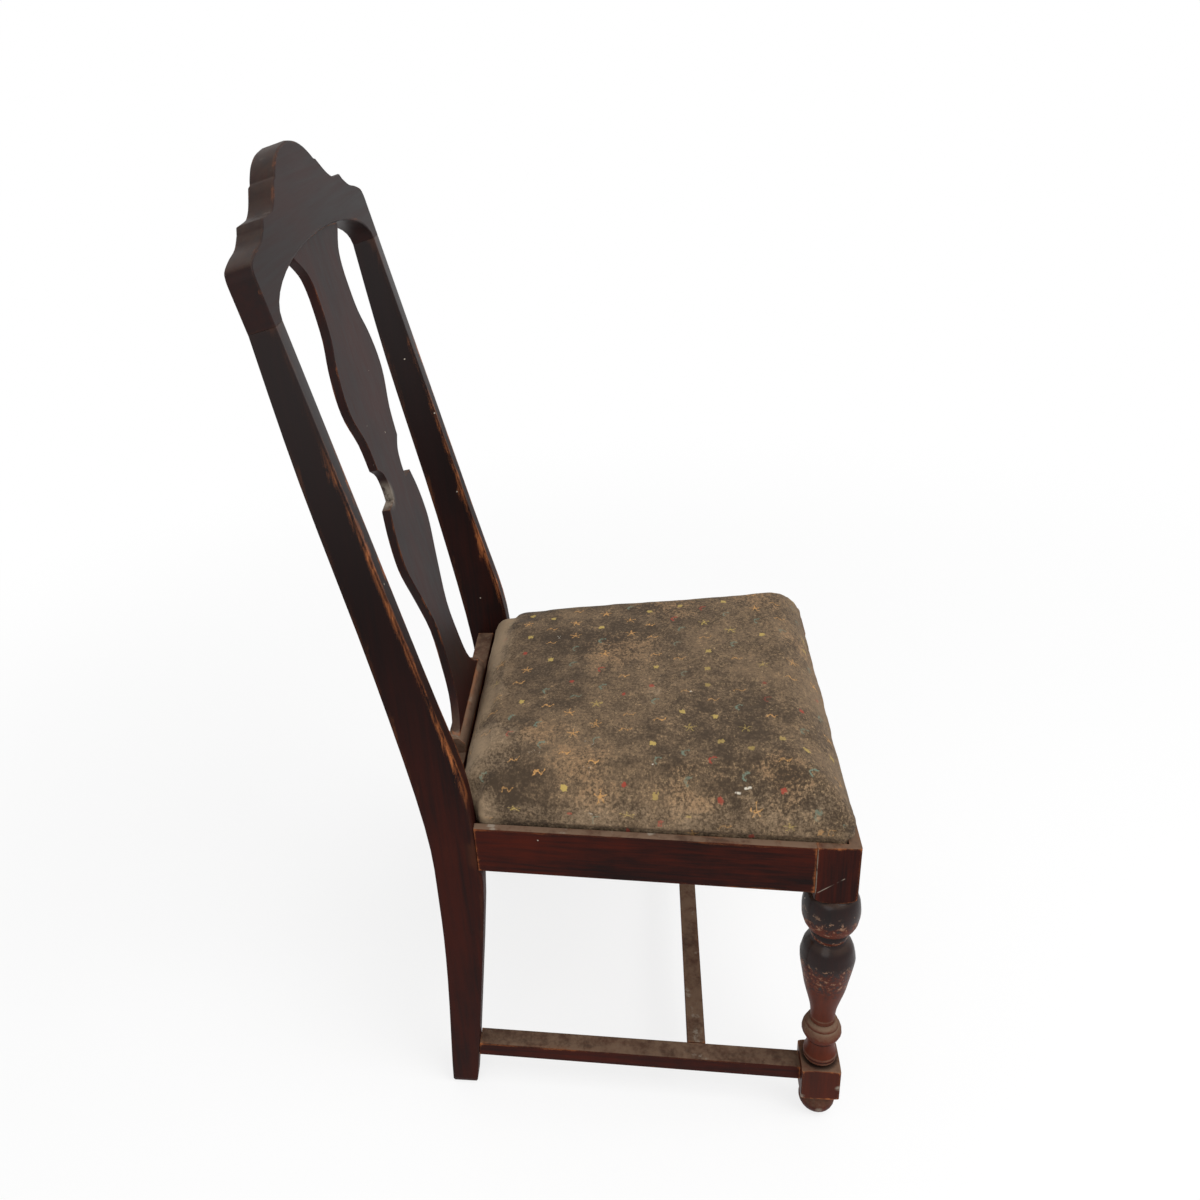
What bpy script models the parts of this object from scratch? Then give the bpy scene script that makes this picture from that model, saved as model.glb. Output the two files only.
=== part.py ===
"""Dining chair: turned front legs, raked back posts, vase splat, H stretcher and a lift-out upholstered seat.

The front of the chair faces -Y, the sitter's left is +X, and the origin lies on the floor under the
middle of the chair. Pieces are modelled with Y measured back from the front faces of the front legs.
"""

import math

import bmesh
import bpy
from mathutils import Matrix, Vector
from mathutils.geometry import interpolate_bezier

MM = 0.001
SIDES = {"left": 1, "right": -1}

# Stance
RAIL_TOP = 430 * MM
FRONT_WIDTH = 464 * MM
REAR_WIDTH = 420 * MM
SEAT_DEPTH = 404 * MM
GAP = 0.3 * MM

# Front legs
LEG_STOCK = 44 * MM
UPPER_BLOCK = 76 * MM
LOWER_BLOCK = 50 * MM
FOOT_HEIGHT = 37 * MM
UPPER_SHOULDER = 12 * MM
LOWER_SHOULDER = 6 * MM
FOOT_SHOULDER = 3 * MM
CORE_RADIUS = 12.5 * MM
FOOT_RADIUS = 21 * MM
FOOT_REST_RADIUS = 11 * MM
BASE_RING_RADIUS = 18.8 * MM
NECK_RADIUS = 16.5 * MM
TORUS_RADIUS = 22.3 * MM
TORUS_HEIGHT = 51 * MM
WAIST_RADIUS = 13.8 * MM
VASE_RADIUS = 29.6 * MM
BALL_RADIUS = 30.8 * MM
BALL_HEIGHT = 52 * MM
BEAD_RADIUS = 20 * MM
TURNING_STEPS = 24

# Seat rails
RAIL_HEIGHT = 62 * MM
RAIL_THICK = 22 * MM
FRONT_RAIL_SETBACK = 8 * MM
LIP = 9 * MM
FRONT_LIP = 4 * MM
REBATE = 14 * MM
REAR_RAIL_SET = 13 * MM
REAR_RAIL_THICK = 32 * MM
REAR_LEDGE = 10 * MM
REAR_RAIL_RISE = 12 * MM
TENON_LENGTH = 20 * MM
TENON_THICK = 9 * MM
TENON_INSET = 7 * MM
TENON_SHOULDER = 8 * MM

# Rear posts, front and rear edges in side view
POST_THICK = 24 * MM
POST_DEPTH = 55 * MM
KNEE_HEIGHT = 315 * MM
KNEE_SET = -1 * MM
KNEE_WAIST = 3 * MM
LEG_KICK = 38.5 * MM
BEND_RISE = 70 * MM
FOOT_DEPTH = 33 * MM
HEEL_HEIGHT = 190 * MM
HEEL_DEPTH = 42 * MM
SHOULDER_HEIGHT = 627 * MM
SHOULDER_DEPTH = 48 * MM
NAPE_HEIGHT = 845 * MM
NAPE_DEPTH = 39 * MM
POST_EASE = 2.2 * MM
FOOT_EASE = 8 * MM

# Back
BACK_RAKE = math.radians(12.4)
BACK_LEAN_START = 8 * MM
SPRING = 576 * MM
ARCH_RISE = 44 * MM
CREST_THICK = 27.5 * MM
CREST_EASE = 2 * MM
EAR_RISE = 56 * MM
SHOULDER_RISE = 76 * MM
COVE_RISE = 82 * MM
LEDGE_RISE = 107 * MM
CREST_RISE = 134 * MM
EAR_WIDTH = 63 * MM
DOME_HALF = 69 * MM
LEDGE_WIDTH = 6.5 * MM
STEP_WIDTH = 6.5 * MM
POST_TENON = 28 * MM

# Splat and its shoe
SPLAT_RAKE = math.radians(10.0)
SPLAT_THICK = 10 * MM
SPLAT_SET = 29.5 * MM
SPLAT_EASE = 1.2 * MM
SPLAT_TENON = 12 * MM
SPLAT_TONGUE = 6 * MM
STEM_HEIGHT = 120 * MM
LOWER_BOWL_HEIGHT = 236 * MM
CUSP_HEIGHT = 290 * MM
NOTCH_HEIGHT = 306 * MM
UPPER_BOWL_DROP = 144 * MM
THROAT_DROP = 60 * MM
FLARE_DROP = 4 * MM
FOOT_HALF = 86 * MM
STEM_HALF = 34 * MM
LOWER_BOWL_HALF = 71 * MM
NOTCH_HALF = 34 * MM
UPPER_BOWL_HALF = 79.5 * MM
THROAT_HALF = 55.5 * MM
FLARE_HALF = 86 * MM
SHOE_HALF = 90 * MM
SHOE_HEIGHT = 20 * MM
SHOE_DEPTH = 20 * MM
SHOE_CHAMFER = 7 * MM

# Stretchers
STRETCHER_TOP = 76 * MM
STRETCHER_HEIGHT = 22 * MM
STRETCHER_WIDTH = 24 * MM
STRETCHER_FRONT_INSET = 13 * MM
STRETCHER_REAR_INSET = 2 * MM
STRETCHER_TENON = 14 * MM
STRETCHER_SHOULDER = 5 * MM
CROSS_Y = 153 * MM
CROSS_WIDTH = 22 * MM
CROSS_HEIGHT = 18 * MM
CROSS_TENON = 12 * MM
STRETCHER_EASE = 1.5 * MM

# Corner blocks and their screws
BLOCK_REACH = 48 * MM
BLOCK_HEIGHT = 30 * MM
BLOCK_DROP = 4 * MM
SCREW_RADIUS = 2.1 * MM
SCREW_HEAD_RADIUS = 4.2 * MM
SCREW_HEAD = 3 * MM
SCREW_SEAT = 12 * MM
SCREW_BITE = 14 * MM
SCREW_STEPS = 10

# Lift-out seat
SEAT_CLEARANCE = 3 * MM
CLOTH = 1.4 * MM
TURN_UNDER = 22 * MM
BOARD_WIDTH = 42 * MM
BOARD_THICK = 18 * MM
BOARD_TENON = 16 * MM
BOARD_TONGUE = 6 * MM
STRAP_WIDTH = 50 * MM
STRAP_THICK = 1.2 * MM
STRAP_PITCH = 92 * MM
STRAP_ENDS = 8 * MM
BURLAP_INSET = 6 * MM
FRONT_CORNER = 15 * MM
REAR_CORNER = 9 * MM
SIDE_HEIGHT = 36 * MM
SIDE_BULGE = 1.6 * MM
FRONT_BULGE = 3.5 * MM
ROLL_HEIGHT = 31 * MM
ROLL_WIDTH = 34 * MM
CROWN = 8 * MM
FRONT_LIFT = 15 * MM
ROLL_INSETS = (1 * MM, 3.5 * MM, 8 * MM, 15 * MM, 24 * MM, ROLL_WIDTH)
CROWN_INSETS = (60 * MM, 95 * MM, 135 * MM, 180 * MM)

# Heights and places that follow from the sizes above
LEDGE_Z = RAIL_TOP - REBATE
RAIL_BOTTOM = RAIL_TOP - RAIL_HEIGHT
LOWER_BLOCK_TOP = FOOT_HEIGHT + LOWER_BLOCK
UPPER_BLOCK_BOTTOM = RAIL_TOP - UPPER_BLOCK
POST_INNER = REAR_WIDTH / 2 - POST_THICK
LEG_INNER = FRONT_WIDTH / 2 - LEG_STOCK
LEG_AXIS = FRONT_WIDTH / 2 - LEG_STOCK / 2
REAR_RAIL_TOP = RAIL_TOP + REAR_RAIL_RISE
REAR_RAIL_Y = SEAT_DEPTH + REAR_RAIL_SET
REAR_LIP_Y = REAR_RAIL_Y + REAR_LEDGE
SPLAT_Y = SEAT_DEPTH + SPLAT_SET
SHOE_TOP = REAR_RAIL_TOP + GAP + SHOE_HEIGHT
FRONT_LIP_Y = FRONT_RAIL_SETBACK + FRONT_LIP
BACK_FOOT = Matrix.Translation((0, SEAT_DEPTH - BACK_LEAN_START, RAIL_TOP))
BACK_FRAME = BACK_FOOT @ Matrix.Rotation(-BACK_RAKE, 4, "X")
SPLAT_FRAME = Matrix.Translation((0, SPLAT_Y, SHOE_TOP)) @ Matrix.Rotation(-SPLAT_RAKE, 4, "X")

WOOD_FINISHES = {
    "frame": (0.058, 0.020, 0.014),
    "back": (0.050, 0.028, 0.021),
    "turning": (0.070, 0.024, 0.016),
    "inner_wood": (0.330, 0.215, 0.120),
}
CLOTH_FINISHES = {
    "cover": (0.150, 0.122, 0.080),
    "stuffing": (0.420, 0.350, 0.250),
    "burlap": (0.360, 0.270, 0.160),
    "webbing": (0.400, 0.310, 0.190),
}


# Materials

def finish(name, colour, roughness, metallic=0.0):
    """A plain Principled material."""
    material = bpy.data.materials.new(name)
    material.use_nodes = True
    shader = material.node_tree.nodes["Principled BSDF"]
    shader.inputs["Base Color"].default_value = (*colour, 1)
    shader.inputs["Roughness"].default_value = roughness
    shader.inputs["Metallic"].default_value = metallic
    return material


def make_finishes():
    """Every finish on the chair, by name."""
    finishes = {name: finish(name, colour, 0.42) for name, colour in WOOD_FINISHES.items()}
    finishes.update({name: finish(name, colour, 0.9) for name, colour in CLOTH_FINISHES.items()})
    finishes["steel"] = finish("steel", (0.30, 0.28, 0.26), 0.4, 0.9)
    return finishes


# Shape helpers

def smooth_path(points, steps=4):
    """Points on a smooth curve through the given ones, both ends included."""
    knots = [Vector(point) for point in points]
    path = [knots[0]]
    for i, (first, last) in enumerate(zip(knots, knots[1:])):
        before = knots[max(i - 1, 0)]
        after = knots[min(i + 2, len(knots) - 1)]
        leave = first + (last - before) / 6
        arrive = last - (after - first) / 6
        path += interpolate_bezier(first, leave, arrive, last, steps + 1)[1:]
    return path


def rounded(corners, radii, steps=5):
    """A closed outline with each corner turned into an arc of its own radius."""
    outline = []
    for i, (corner, radius) in enumerate(zip(corners, radii)):
        corner = Vector(corner)
        start = corner + (Vector(corners[i - 1]) - corner).normalized() * radius
        end = corner + (Vector(corners[(i + 1) % len(corners)]) - corner).normalized() * radius
        outline += interpolate_bezier(start, start.lerp(corner, 0.55), end.lerp(corner, 0.55), end, steps)
    return outline


def loft(rings):
    """A closed solid through rings of equally many points, capped at both ends."""
    bm = bmesh.new()
    loops = [[bm.verts.new(point) for point in ring] for ring in rings]
    for lower, upper in zip(loops, loops[1:]):
        for i, corner in enumerate(lower):
            bm.faces.new((lower[i - 1], corner, upper[i], upper[i - 1]))
    bm.faces.new(loops[0])
    bm.faces.new(loops[-1])
    return bm


def prism(outline, start, offset):
    """A flat outline of 3-D points, moved to a start and extruded along an offset."""
    bm = bmesh.new()
    face = bm.faces.new([bm.verts.new(Vector(point) + Vector(start)) for point in outline])
    grown = bmesh.ops.extrude_face_region(bm, geom=[face])["geom"]
    moved = [item for item in grown if isinstance(item, bmesh.types.BMVert)]
    bmesh.ops.translate(bm, verts=moved, vec=offset)
    return bm


def plan_prism(outline, low, high):
    """An outline seen from above, between two heights."""
    return prism([(x, y, 0) for x, y in outline], (0, 0, low), (0, 0, high - low))


def box(low, high):
    """A box between two corners."""
    bm = bmesh.new()
    low, high = Vector(low), Vector(high)
    sizes = Matrix.Diagonal((*(high - low), 1))
    bmesh.ops.create_cube(bm, size=1, matrix=Matrix.Translation((low + high) / 2) @ sizes)
    return bm


def turned(profile, steps):
    """A solid turned about Z from (radius, height) points that start and end on the axis."""
    bm = bmesh.new()
    verts = [bm.verts.new((radius, 0, height)) for radius, height in profile]
    edges = [bm.edges.new(pair) for pair in zip(verts, verts[1:])]
    bmesh.ops.spin(
        bm, geom=verts + edges, cent=(0, 0, 0), axis=(0, 0, 1), dvec=(0, 0, 0),
        angle=math.tau, steps=steps, use_merge=True,
    )
    bmesh.ops.remove_doubles(bm, verts=bm.verts, dist=GAP / 100)
    return bm


def ease(bm, wanted, width):
    """Rounds the edges for which wanted is true."""
    edges = [edge for edge in bm.edges if wanted(edge.verts[0].co, edge.verts[1].co)]
    bmesh.ops.bevel(
        bm, geom=edges, offset=width, offset_type="OFFSET", segments=2, profile=0.5,
        affect="EDGES", clamp_overlap=True, material=-1,
    )


class Bench:
    """Puts pieces together: keeps the parents, the finishes and the list of pieces."""

    def __init__(self):
        self.finishes = make_finishes()
        self.chair = self.empty("chair", None, (0, 0, 0))
        seat_middle = (FRONT_LIP_Y + REAR_LIP_Y) / 2
        self.seat = self.empty("lift_out_seat", self.chair, (0, seat_middle, LEDGE_Z))
        self.pieces = []

    def empty(self, name, parent, location):
        holder = bpy.data.objects.new(name, None)
        holder.location = location
        holder.parent = parent
        bpy.context.scene.collection.objects.link(holder)
        return holder

    def add(self, name, bm, place=None, parent=None):
        """An object made from a bmesh, carried by the chair unless another parent is named."""
        bmesh.ops.recalc_face_normals(bm, faces=bm.faces)
        mesh = bpy.data.meshes.new(name)
        bm.to_mesh(mesh)
        bm.free()
        mesh.shade_smooth()
        mesh.set_sharp_from_angle(angle=math.radians(35))
        thing = bpy.data.objects.new(name, mesh)
        thing.parent = parent or self.chair
        if parent:
            thing.matrix_parent_inverse = Matrix.Translation(-parent.location)
        thing.matrix_basis = place or Matrix.Identity(4)
        bpy.context.scene.collection.objects.link(thing)
        return thing

    def piece(self, name, bm, finish_name, place=None, parent=None):
        """A sub-part of the chair."""
        thing = self.add(name, bm, place, parent)
        thing.data.materials.append(self.finishes[finish_name])
        self.pieces.append(thing)
        return thing

    def helper(self, name, bm, place=None, parent=None):
        """A shape that only joins to a piece or cuts it."""
        thing = self.add(name, bm, place, parent)
        thing.hide_render = True
        thing.display_type = "WIRE"
        return thing

    def combine(self, thing, operation, other):
        modifier = thing.modifiers.new(f"{operation.lower()} {other.name}", "BOOLEAN")
        modifier.operation = operation
        modifier.solver = "EXACT"
        modifier.object = other


# Lines that several pieces share

def side_x(y):
    """Half the width over the side rails, at a distance back from the front."""
    share = (y - LEG_STOCK) / (SEAT_DEPTH - LEG_STOCK)
    return (FRONT_WIDTH + (REAR_WIDTH - FRONT_WIDTH) * share) / 2


def seat_corners(inset):
    """Corners of the lift-out seat seen from above, with its rear corners notched round the posts."""
    clear = SEAT_CLEARANCE + inset
    front = FRONT_LIP_Y + clear
    notch = SEAT_DEPTH - clear
    back = REAR_LIP_Y - clear
    half = [
        (side_x(front) - LIP - clear, front),
        (side_x(notch) - LIP - clear, notch),
        (POST_INNER - clear, notch),
        (POST_INNER - clear, back),
    ]
    return half + [(-x, y) for x, y in reversed(half)]


def seat_outline(inset):
    """The seat's outline with rounded corners."""
    notch_corner = SEAT_CLEARANCE
    radii = [FRONT_CORNER, REAR_CORNER, notch_corner, REAR_CORNER]
    return rounded(seat_corners(inset), radii + radii[::-1])


def post_edges():
    """Front and rear edges of a rear post in side view, from the floor up, as (y, z) points."""
    lean = math.tan(BACK_RAKE)
    base = SEAT_DEPTH - BACK_LEAN_START

    def back_line(height):
        return base + (height - RAIL_TOP) * lean

    top = BACK_FRAME @ Vector((0, 0, SPRING))
    top_rear = BACK_FRAME @ Vector((0, CREST_THICK, SPRING))
    knee_y = SEAT_DEPTH + KNEE_SET
    bend = RAIL_TOP + BEND_RISE
    lower_front = [(knee_y + LEG_KICK, 0), (knee_y, KNEE_HEIGHT), (SEAT_DEPTH, RAIL_BOTTOM)]
    upper_front = [(SEAT_DEPTH, RAIL_TOP), (back_line(bend) + KNEE_SET, bend)]
    upper_front += [(back_line(SHOULDER_HEIGHT), SHOULDER_HEIGHT), (top.y, top.z)]
    rear = [
        (knee_y + LEG_KICK + FOOT_DEPTH, 0),
        (knee_y + LEG_KICK * (1 - HEEL_HEIGHT / KNEE_HEIGHT) + HEEL_DEPTH, HEEL_HEIGHT),
        (SEAT_DEPTH + POST_DEPTH - KNEE_WAIST, KNEE_HEIGHT),
        (SEAT_DEPTH + POST_DEPTH, RAIL_TOP),
        (back_line(SHOULDER_HEIGHT) + SHOULDER_DEPTH, SHOULDER_HEIGHT),
        (back_line(NAPE_HEIGHT) + NAPE_DEPTH, NAPE_HEIGHT),
        (top_rear.y, top_rear.z),
    ]
    return smooth_path(lower_front) + smooth_path(upper_front), smooth_path(rear)


def post_front_y(height):
    """Where the front edge of a rear post lies at a height below the rails."""
    front, _ = post_edges()
    for low, high in zip(front, front[1:]):
        if low.y <= height <= high.y:
            return low.x + (high.x - low.x) * (height - low.y) / (high.y - low.y)
    raise ValueError("height outside the post")


def arch_points(drop, half, steps=20):
    """The crest's arched underside as (x, height) points from one side to the other, lowered by a drop."""
    span = REAR_WIDTH / 2 - POST_THICK
    reach = math.acos(half / span)
    angles = [reach + (math.pi - 2 * reach) * i / steps for i in range(steps + 1)]
    return [(span * math.cos(a), SPRING + ARCH_RISE * math.sin(a) - drop) for a in angles]


# Tenons: each is a bar that joins its own rail and, grown by the gap, cuts the mortises

def joint(bench, name, rail, hosts, bar, parent=None):
    """Joins a tenon bar to a rail and cuts it, with clearance, from the pieces it enters."""
    bench.combine(rail, "UNION", bench.helper(f"{name}_tenon", bar(0), parent=parent))
    mortise = bench.helper(f"{name}_mortise", bar(GAP), parent=parent)
    for host in hosts:
        bench.combine(host, "DIFFERENCE", mortise)


# Front legs

def leg_profile():
    """The turned line of a front leg, from the axis on the floor up to the axis inside the upper block."""
    low, high = LOWER_BLOCK_TOP, UPPER_BLOCK_BOTTOM
    torus = low + TORUS_HEIGHT
    ball = high - BALL_HEIGHT / 2
    neck = high - BALL_HEIGHT
    foot = smooth_path([
        (FOOT_REST_RADIUS, 0), (FOOT_RADIUS - 3 * MM, FOOT_HEIGHT * 0.19), (FOOT_RADIUS, FOOT_HEIGHT * 0.46),
        (FOOT_RADIUS - 3 * MM, FOOT_HEIGHT * 0.78), (CORE_RADIUS, FOOT_HEIGHT - 1 * MM),
    ], 3)
    base = smooth_path([
        (NECK_RADIUS, low + 2 * MM), (BASE_RING_RADIUS, low + 6 * MM), (BASE_RING_RADIUS, low + 13 * MM),
        (NECK_RADIUS + 0.8 * MM, low + 17 * MM),
    ], 2)
    throat = smooth_path([
        (NECK_RADIUS + 0.8 * MM, low + 17 * MM), (NECK_RADIUS - 0.8 * MM, low + 26 * MM),
        (NECK_RADIUS, torus - 11 * MM),
    ], 2)
    ring = smooth_path([
        (TORUS_RADIUS - 3 * MM, torus - 10 * MM), (TORUS_RADIUS, torus - 3 * MM),
        (TORUS_RADIUS - 1.5 * MM, torus + 5 * MM), (WAIST_RADIUS + 4.5 * MM, torus + 8 * MM),
    ], 2)
    bead = smooth_path([
        (WAIST_RADIUS + 4.5 * MM, torus + 8.5 * MM), (WAIST_RADIUS + 4 * MM, torus + 12 * MM),
        (WAIST_RADIUS, torus + 15 * MM),
    ], 2)
    vase = smooth_path([
        (WAIST_RADIUS, torus + 15 * MM), (WAIST_RADIUS, neck - 139 * MM),
        (WAIST_RADIUS + 1.8 * MM, neck - 123 * MM), (VASE_RADIUS - 7.2 * MM, neck - 94 * MM),
        (VASE_RADIUS - 4 * MM, neck - 75 * MM), (VASE_RADIUS, neck - 48 * MM),
        (VASE_RADIUS - 1 * MM, neck - 37 * MM), (VASE_RADIUS - 4 * MM, neck - 26 * MM),
        (BEAD_RADIUS - 1.5 * MM, neck - 17 * MM),
    ], 3)
    collar = smooth_path([
        (BEAD_RADIUS - 2 * MM, neck - 15 * MM), (BEAD_RADIUS, neck - 11 * MM), (BEAD_RADIUS, neck - 7 * MM),
        (BEAD_RADIUS - 2.5 * MM, neck - 2 * MM),
    ], 2)
    waist = BEAD_RADIUS - 2.5 * MM
    angles = [math.pi * (0.05 + 0.88 * i / 12) for i in range(13)]
    sphere = [
        (waist + (BALL_RADIUS - waist) * math.sin(a) ** 0.75, ball - BALL_HEIGHT / 2 * math.cos(a))
        for a in angles
    ]
    ends = [(0, 0)], [(CORE_RADIUS, high + UPPER_SHOULDER), (0, high + UPPER_SHOULDER)]
    core = [(CORE_RADIUS, low + 2 * MM)]
    runs = [ends[0], foot, core, base, throat, ring, bead, vase, collar, sphere, ends[1]]
    line = []
    for run in runs:
        for radius, height in run:
            if not line or (Vector((radius, height)) - Vector(line[-1])).length > GAP:
                line.append((radius, height))
    return line[::-1]


def shoulder_profile(low, high, low_curve, high_curve):
    """A drum that rounds a square block's ends over, as turning leaves them."""
    wide = LEG_STOCK * 0.75
    narrow = LEG_STOCK * 0.45
    quarter = [math.pi / 2 * i / 5 for i in range(6)]
    bottom = [(narrow + (wide - narrow) * math.sin(a), low + low_curve * (1 - math.cos(a))) for a in quarter]
    top = [(narrow + (wide - narrow) * math.cos(a), high - high_curve * (1 - math.sin(a))) for a in quarter]
    return [(0, high)] + top[::-1] + bottom[::-1] + [(0, low)]


def leg_block(bench, name, place, low, high, low_curve, high_curve):
    """A square block of a front leg with turned shoulders."""
    half = LEG_STOCK / 2
    cube = box((-half, -half, low), (half, half, high))
    ease(cube, lambda a, b: abs(a.z - b.z) > half / 2, STRETCHER_EASE)
    block = bench.helper(name, cube, place)
    drum = turned(shoulder_profile(low, high, low_curve, high_curve), TURNING_STEPS + 4)
    bench.combine(block, "INTERSECT", bench.helper(f"{name}_drum", drum, place))
    return block


def front_legs(bench):
    legs = {}
    for name, side in SIDES.items():
        place = Matrix.Translation((side * LEG_AXIS, LEG_STOCK / 2, 0))
        leg = bench.piece(f"front_leg_{name}", turned(leg_profile(), TURNING_STEPS), "turning", place)
        overrun = UPPER_SHOULDER
        upper = leg_block(
            bench, f"upper_block_{name}", place, UPPER_BLOCK_BOTTOM, RAIL_TOP + overrun,
            UPPER_SHOULDER, overrun / 2,
        )
        lower = leg_block(
            bench, f"lower_block_{name}", place, FOOT_HEIGHT, LOWER_BLOCK_TOP,
            FOOT_SHOULDER, LOWER_SHOULDER,
        )
        bench.combine(leg, "UNION", upper)
        bench.combine(leg, "UNION", lower)
        legs[name] = leg
    pocket = plan_prism(seat_corners(-SEAT_CLEARANCE), LEDGE_Z, RAIL_TOP + REAR_RAIL_RISE)
    pocket = bench.helper("seat_pocket", pocket)
    above = box((-FRONT_WIDTH, -LEG_STOCK, RAIL_TOP), (FRONT_WIDTH, SEAT_DEPTH, SHOE_TOP))
    top_cut = bench.helper("leg_top", above)
    for leg in legs.values():
        bench.combine(leg, "DIFFERENCE", top_cut)
        bench.combine(leg, "DIFFERENCE", pocket)
    return legs


# Rear posts and crest

def rear_posts(bench):
    front, rear = post_edges()
    outline = [(0, y, z) for y, z in front] + [(0, y, z) for y, z in reversed(rear)]
    top = BACK_FRAME @ Vector((0, 0, SPRING))
    posts = {}
    for name, side in SIDES.items():
        bm = prism(outline, (side * POST_INNER, 0, 0), (side * POST_THICK, 0, 0))

        def long_edge(a, b):
            foot = min(a.z, b.z) < FOOT_EASE - GAP
            head = abs(a.y - b.y) > CREST_THICK / 2 and a.z > top.z - CREST_THICK
            return abs(a.x - b.x) < GAP and not foot and not head

        ease(bm, lambda a, b: a.z + b.z < GAP, FOOT_EASE)
        ease(bm, long_edge, POST_EASE)
        posts[name] = bench.piece(f"rear_post_{name}", bm, "frame")
    return posts


def crest_half():
    """The crest's upper outline from the end of one ear to the middle, as (x, height) points."""
    wide = REAR_WIDTH / 2
    step = wide - EAR_WIDTH
    ledge = DOME_HALF + LEDGE_WIDTH
    ear_top, cove_top, ledge_top = SPRING + EAR_RISE, SPRING + COVE_RISE, SPRING + LEDGE_RISE
    ear = smooth_path([
        (wide, ear_top - 12 * MM), (wide - 1.2 * MM, ear_top - 6 * MM), (wide - 6 * MM, ear_top),
        (wide - 24 * MM, ear_top + 6 * MM), (wide - 46 * MM, ear_top + 11 * MM),
        (step, SPRING + SHOULDER_RISE),
    ])
    cove = smooth_path([
        (step - STEP_WIDTH, cove_top), (step - 29 * MM, cove_top + 1 * MM),
        (ledge + 32 * MM, cove_top + 3 * MM), (ledge + 18 * MM, cove_top + 10.5 * MM), (ledge, ledge_top),
    ])
    dome = smooth_path([
        (DOME_HALF, ledge_top + 1.5 * MM), (DOME_HALF - 8 * MM, ledge_top + 8 * MM),
        (DOME_HALF - 23 * MM, ledge_top + 17 * MM), (DOME_HALF - 44 * MM, SPRING + CREST_RISE - 3 * MM),
        (0, SPRING + CREST_RISE),
    ])
    return ear + cove + dome


def crest_rail(bench, posts):
    wide = REAR_WIDTH / 2
    half = crest_half()
    other = [(-x, z) for x, z in reversed(half[:-1])]
    outline = [(wide, SPRING + GAP)] + half + other + [(-wide, SPRING + GAP)]
    arch = arch_points(-GAP, POST_INNER)
    outline += arch[::-1]
    bm = prism([(x, 0, z) for x, z in outline], (0, 0, 0), (0, CREST_THICK, 0))

    def rim(a, b):
        on_spring = max(a.z, b.z) < SPRING + 2 * GAP
        return abs(a.y - b.y) < GAP and not on_spring

    ease(bm, rim, CREST_EASE)
    crest = bench.piece("crest_rail", bm, "back", BACK_FRAME)
    inset = TENON_INSET - 1 * MM
    for name, side in SIDES.items():
        ends = sorted((side * (POST_INNER + inset), side * (wide - inset)))

        def bar(grow):
            low = (ends[0] - grow, inset - grow, SPRING - POST_TENON)
            return box(low, (ends[1] + grow, CREST_THICK - inset + grow, SPRING + POST_TENON + grow))

        tenon = bench.helper(f"crest_{name}_tenon", bar(0), BACK_FRAME)
        bench.combine(posts[name], "UNION", tenon)
        bench.combine(crest, "DIFFERENCE", bench.helper(f"crest_{name}_mortise", bar(GAP), BACK_FRAME))
    return crest


# Splat and shoe

def splat_half():
    """One edge of the vase splat from its foot up, as (half width, height) points."""
    flare = SPRING - FLARE_DROP
    throat = flare - THROAT_DROP
    upper_bowl = flare - UPPER_BOWL_DROP
    foot = smooth_path([
        (FOOT_HALF, 0), (FOOT_HALF - 20 * MM, 11 * MM), (STEM_HALF + 12 * MM, 36 * MM),
        (STEM_HALF + 3 * MM, STEM_HEIGHT - 44 * MM), (STEM_HALF, STEM_HEIGHT),
        (LOWER_BOWL_HALF - 21 * MM, LOWER_BOWL_HEIGHT - 68 * MM),
        (LOWER_BOWL_HALF - 3 * MM, LOWER_BOWL_HEIGHT - 24 * MM), (LOWER_BOWL_HALF, LOWER_BOWL_HEIGHT),
        (LOWER_BOWL_HALF - 4 * MM, CUSP_HEIGHT - 26 * MM), (LOWER_BOWL_HALF - 13 * MM, CUSP_HEIGHT),
    ], 3)
    cove = smooth_path([
        (NOTCH_HALF + 1 * MM, CUSP_HEIGHT + 2 * MM), (NOTCH_HALF, NOTCH_HEIGHT),
        (NOTCH_HALF + 5 * MM, NOTCH_HEIGHT + 18 * MM), (NOTCH_HALF + 20 * MM, NOTCH_HEIGHT + 30 * MM),
    ], 3)
    bowl_foot = NOTCH_HEIGHT + 30.5 * MM
    bowl_flank = upper_bowl - 26 * MM
    bowl = smooth_path([
        (NOTCH_HALF + 20 * MM, bowl_foot), (UPPER_BOWL_HALF - 20 * MM, (bowl_foot + bowl_flank) / 2),
        (UPPER_BOWL_HALF - 3 * MM, bowl_flank), (UPPER_BOWL_HALF, upper_bowl),
        (UPPER_BOWL_HALF - 7 * MM, upper_bowl + 29 * MM), (THROAT_HALF + 4 * MM, throat - 28 * MM),
        (THROAT_HALF, throat), (THROAT_HALF + 0.5 * MM, throat + 23 * MM),
        (THROAT_HALF + 8 * MM, flare - 19 * MM), (FLARE_HALF, flare),
    ], 3)
    head = [(FLARE_HALF + SHOE_CHAMFER, flare + ARCH_RISE)]
    return [(FOOT_HALF, -SHOE_CHAMFER)] + foot + cove + bowl + head


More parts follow.
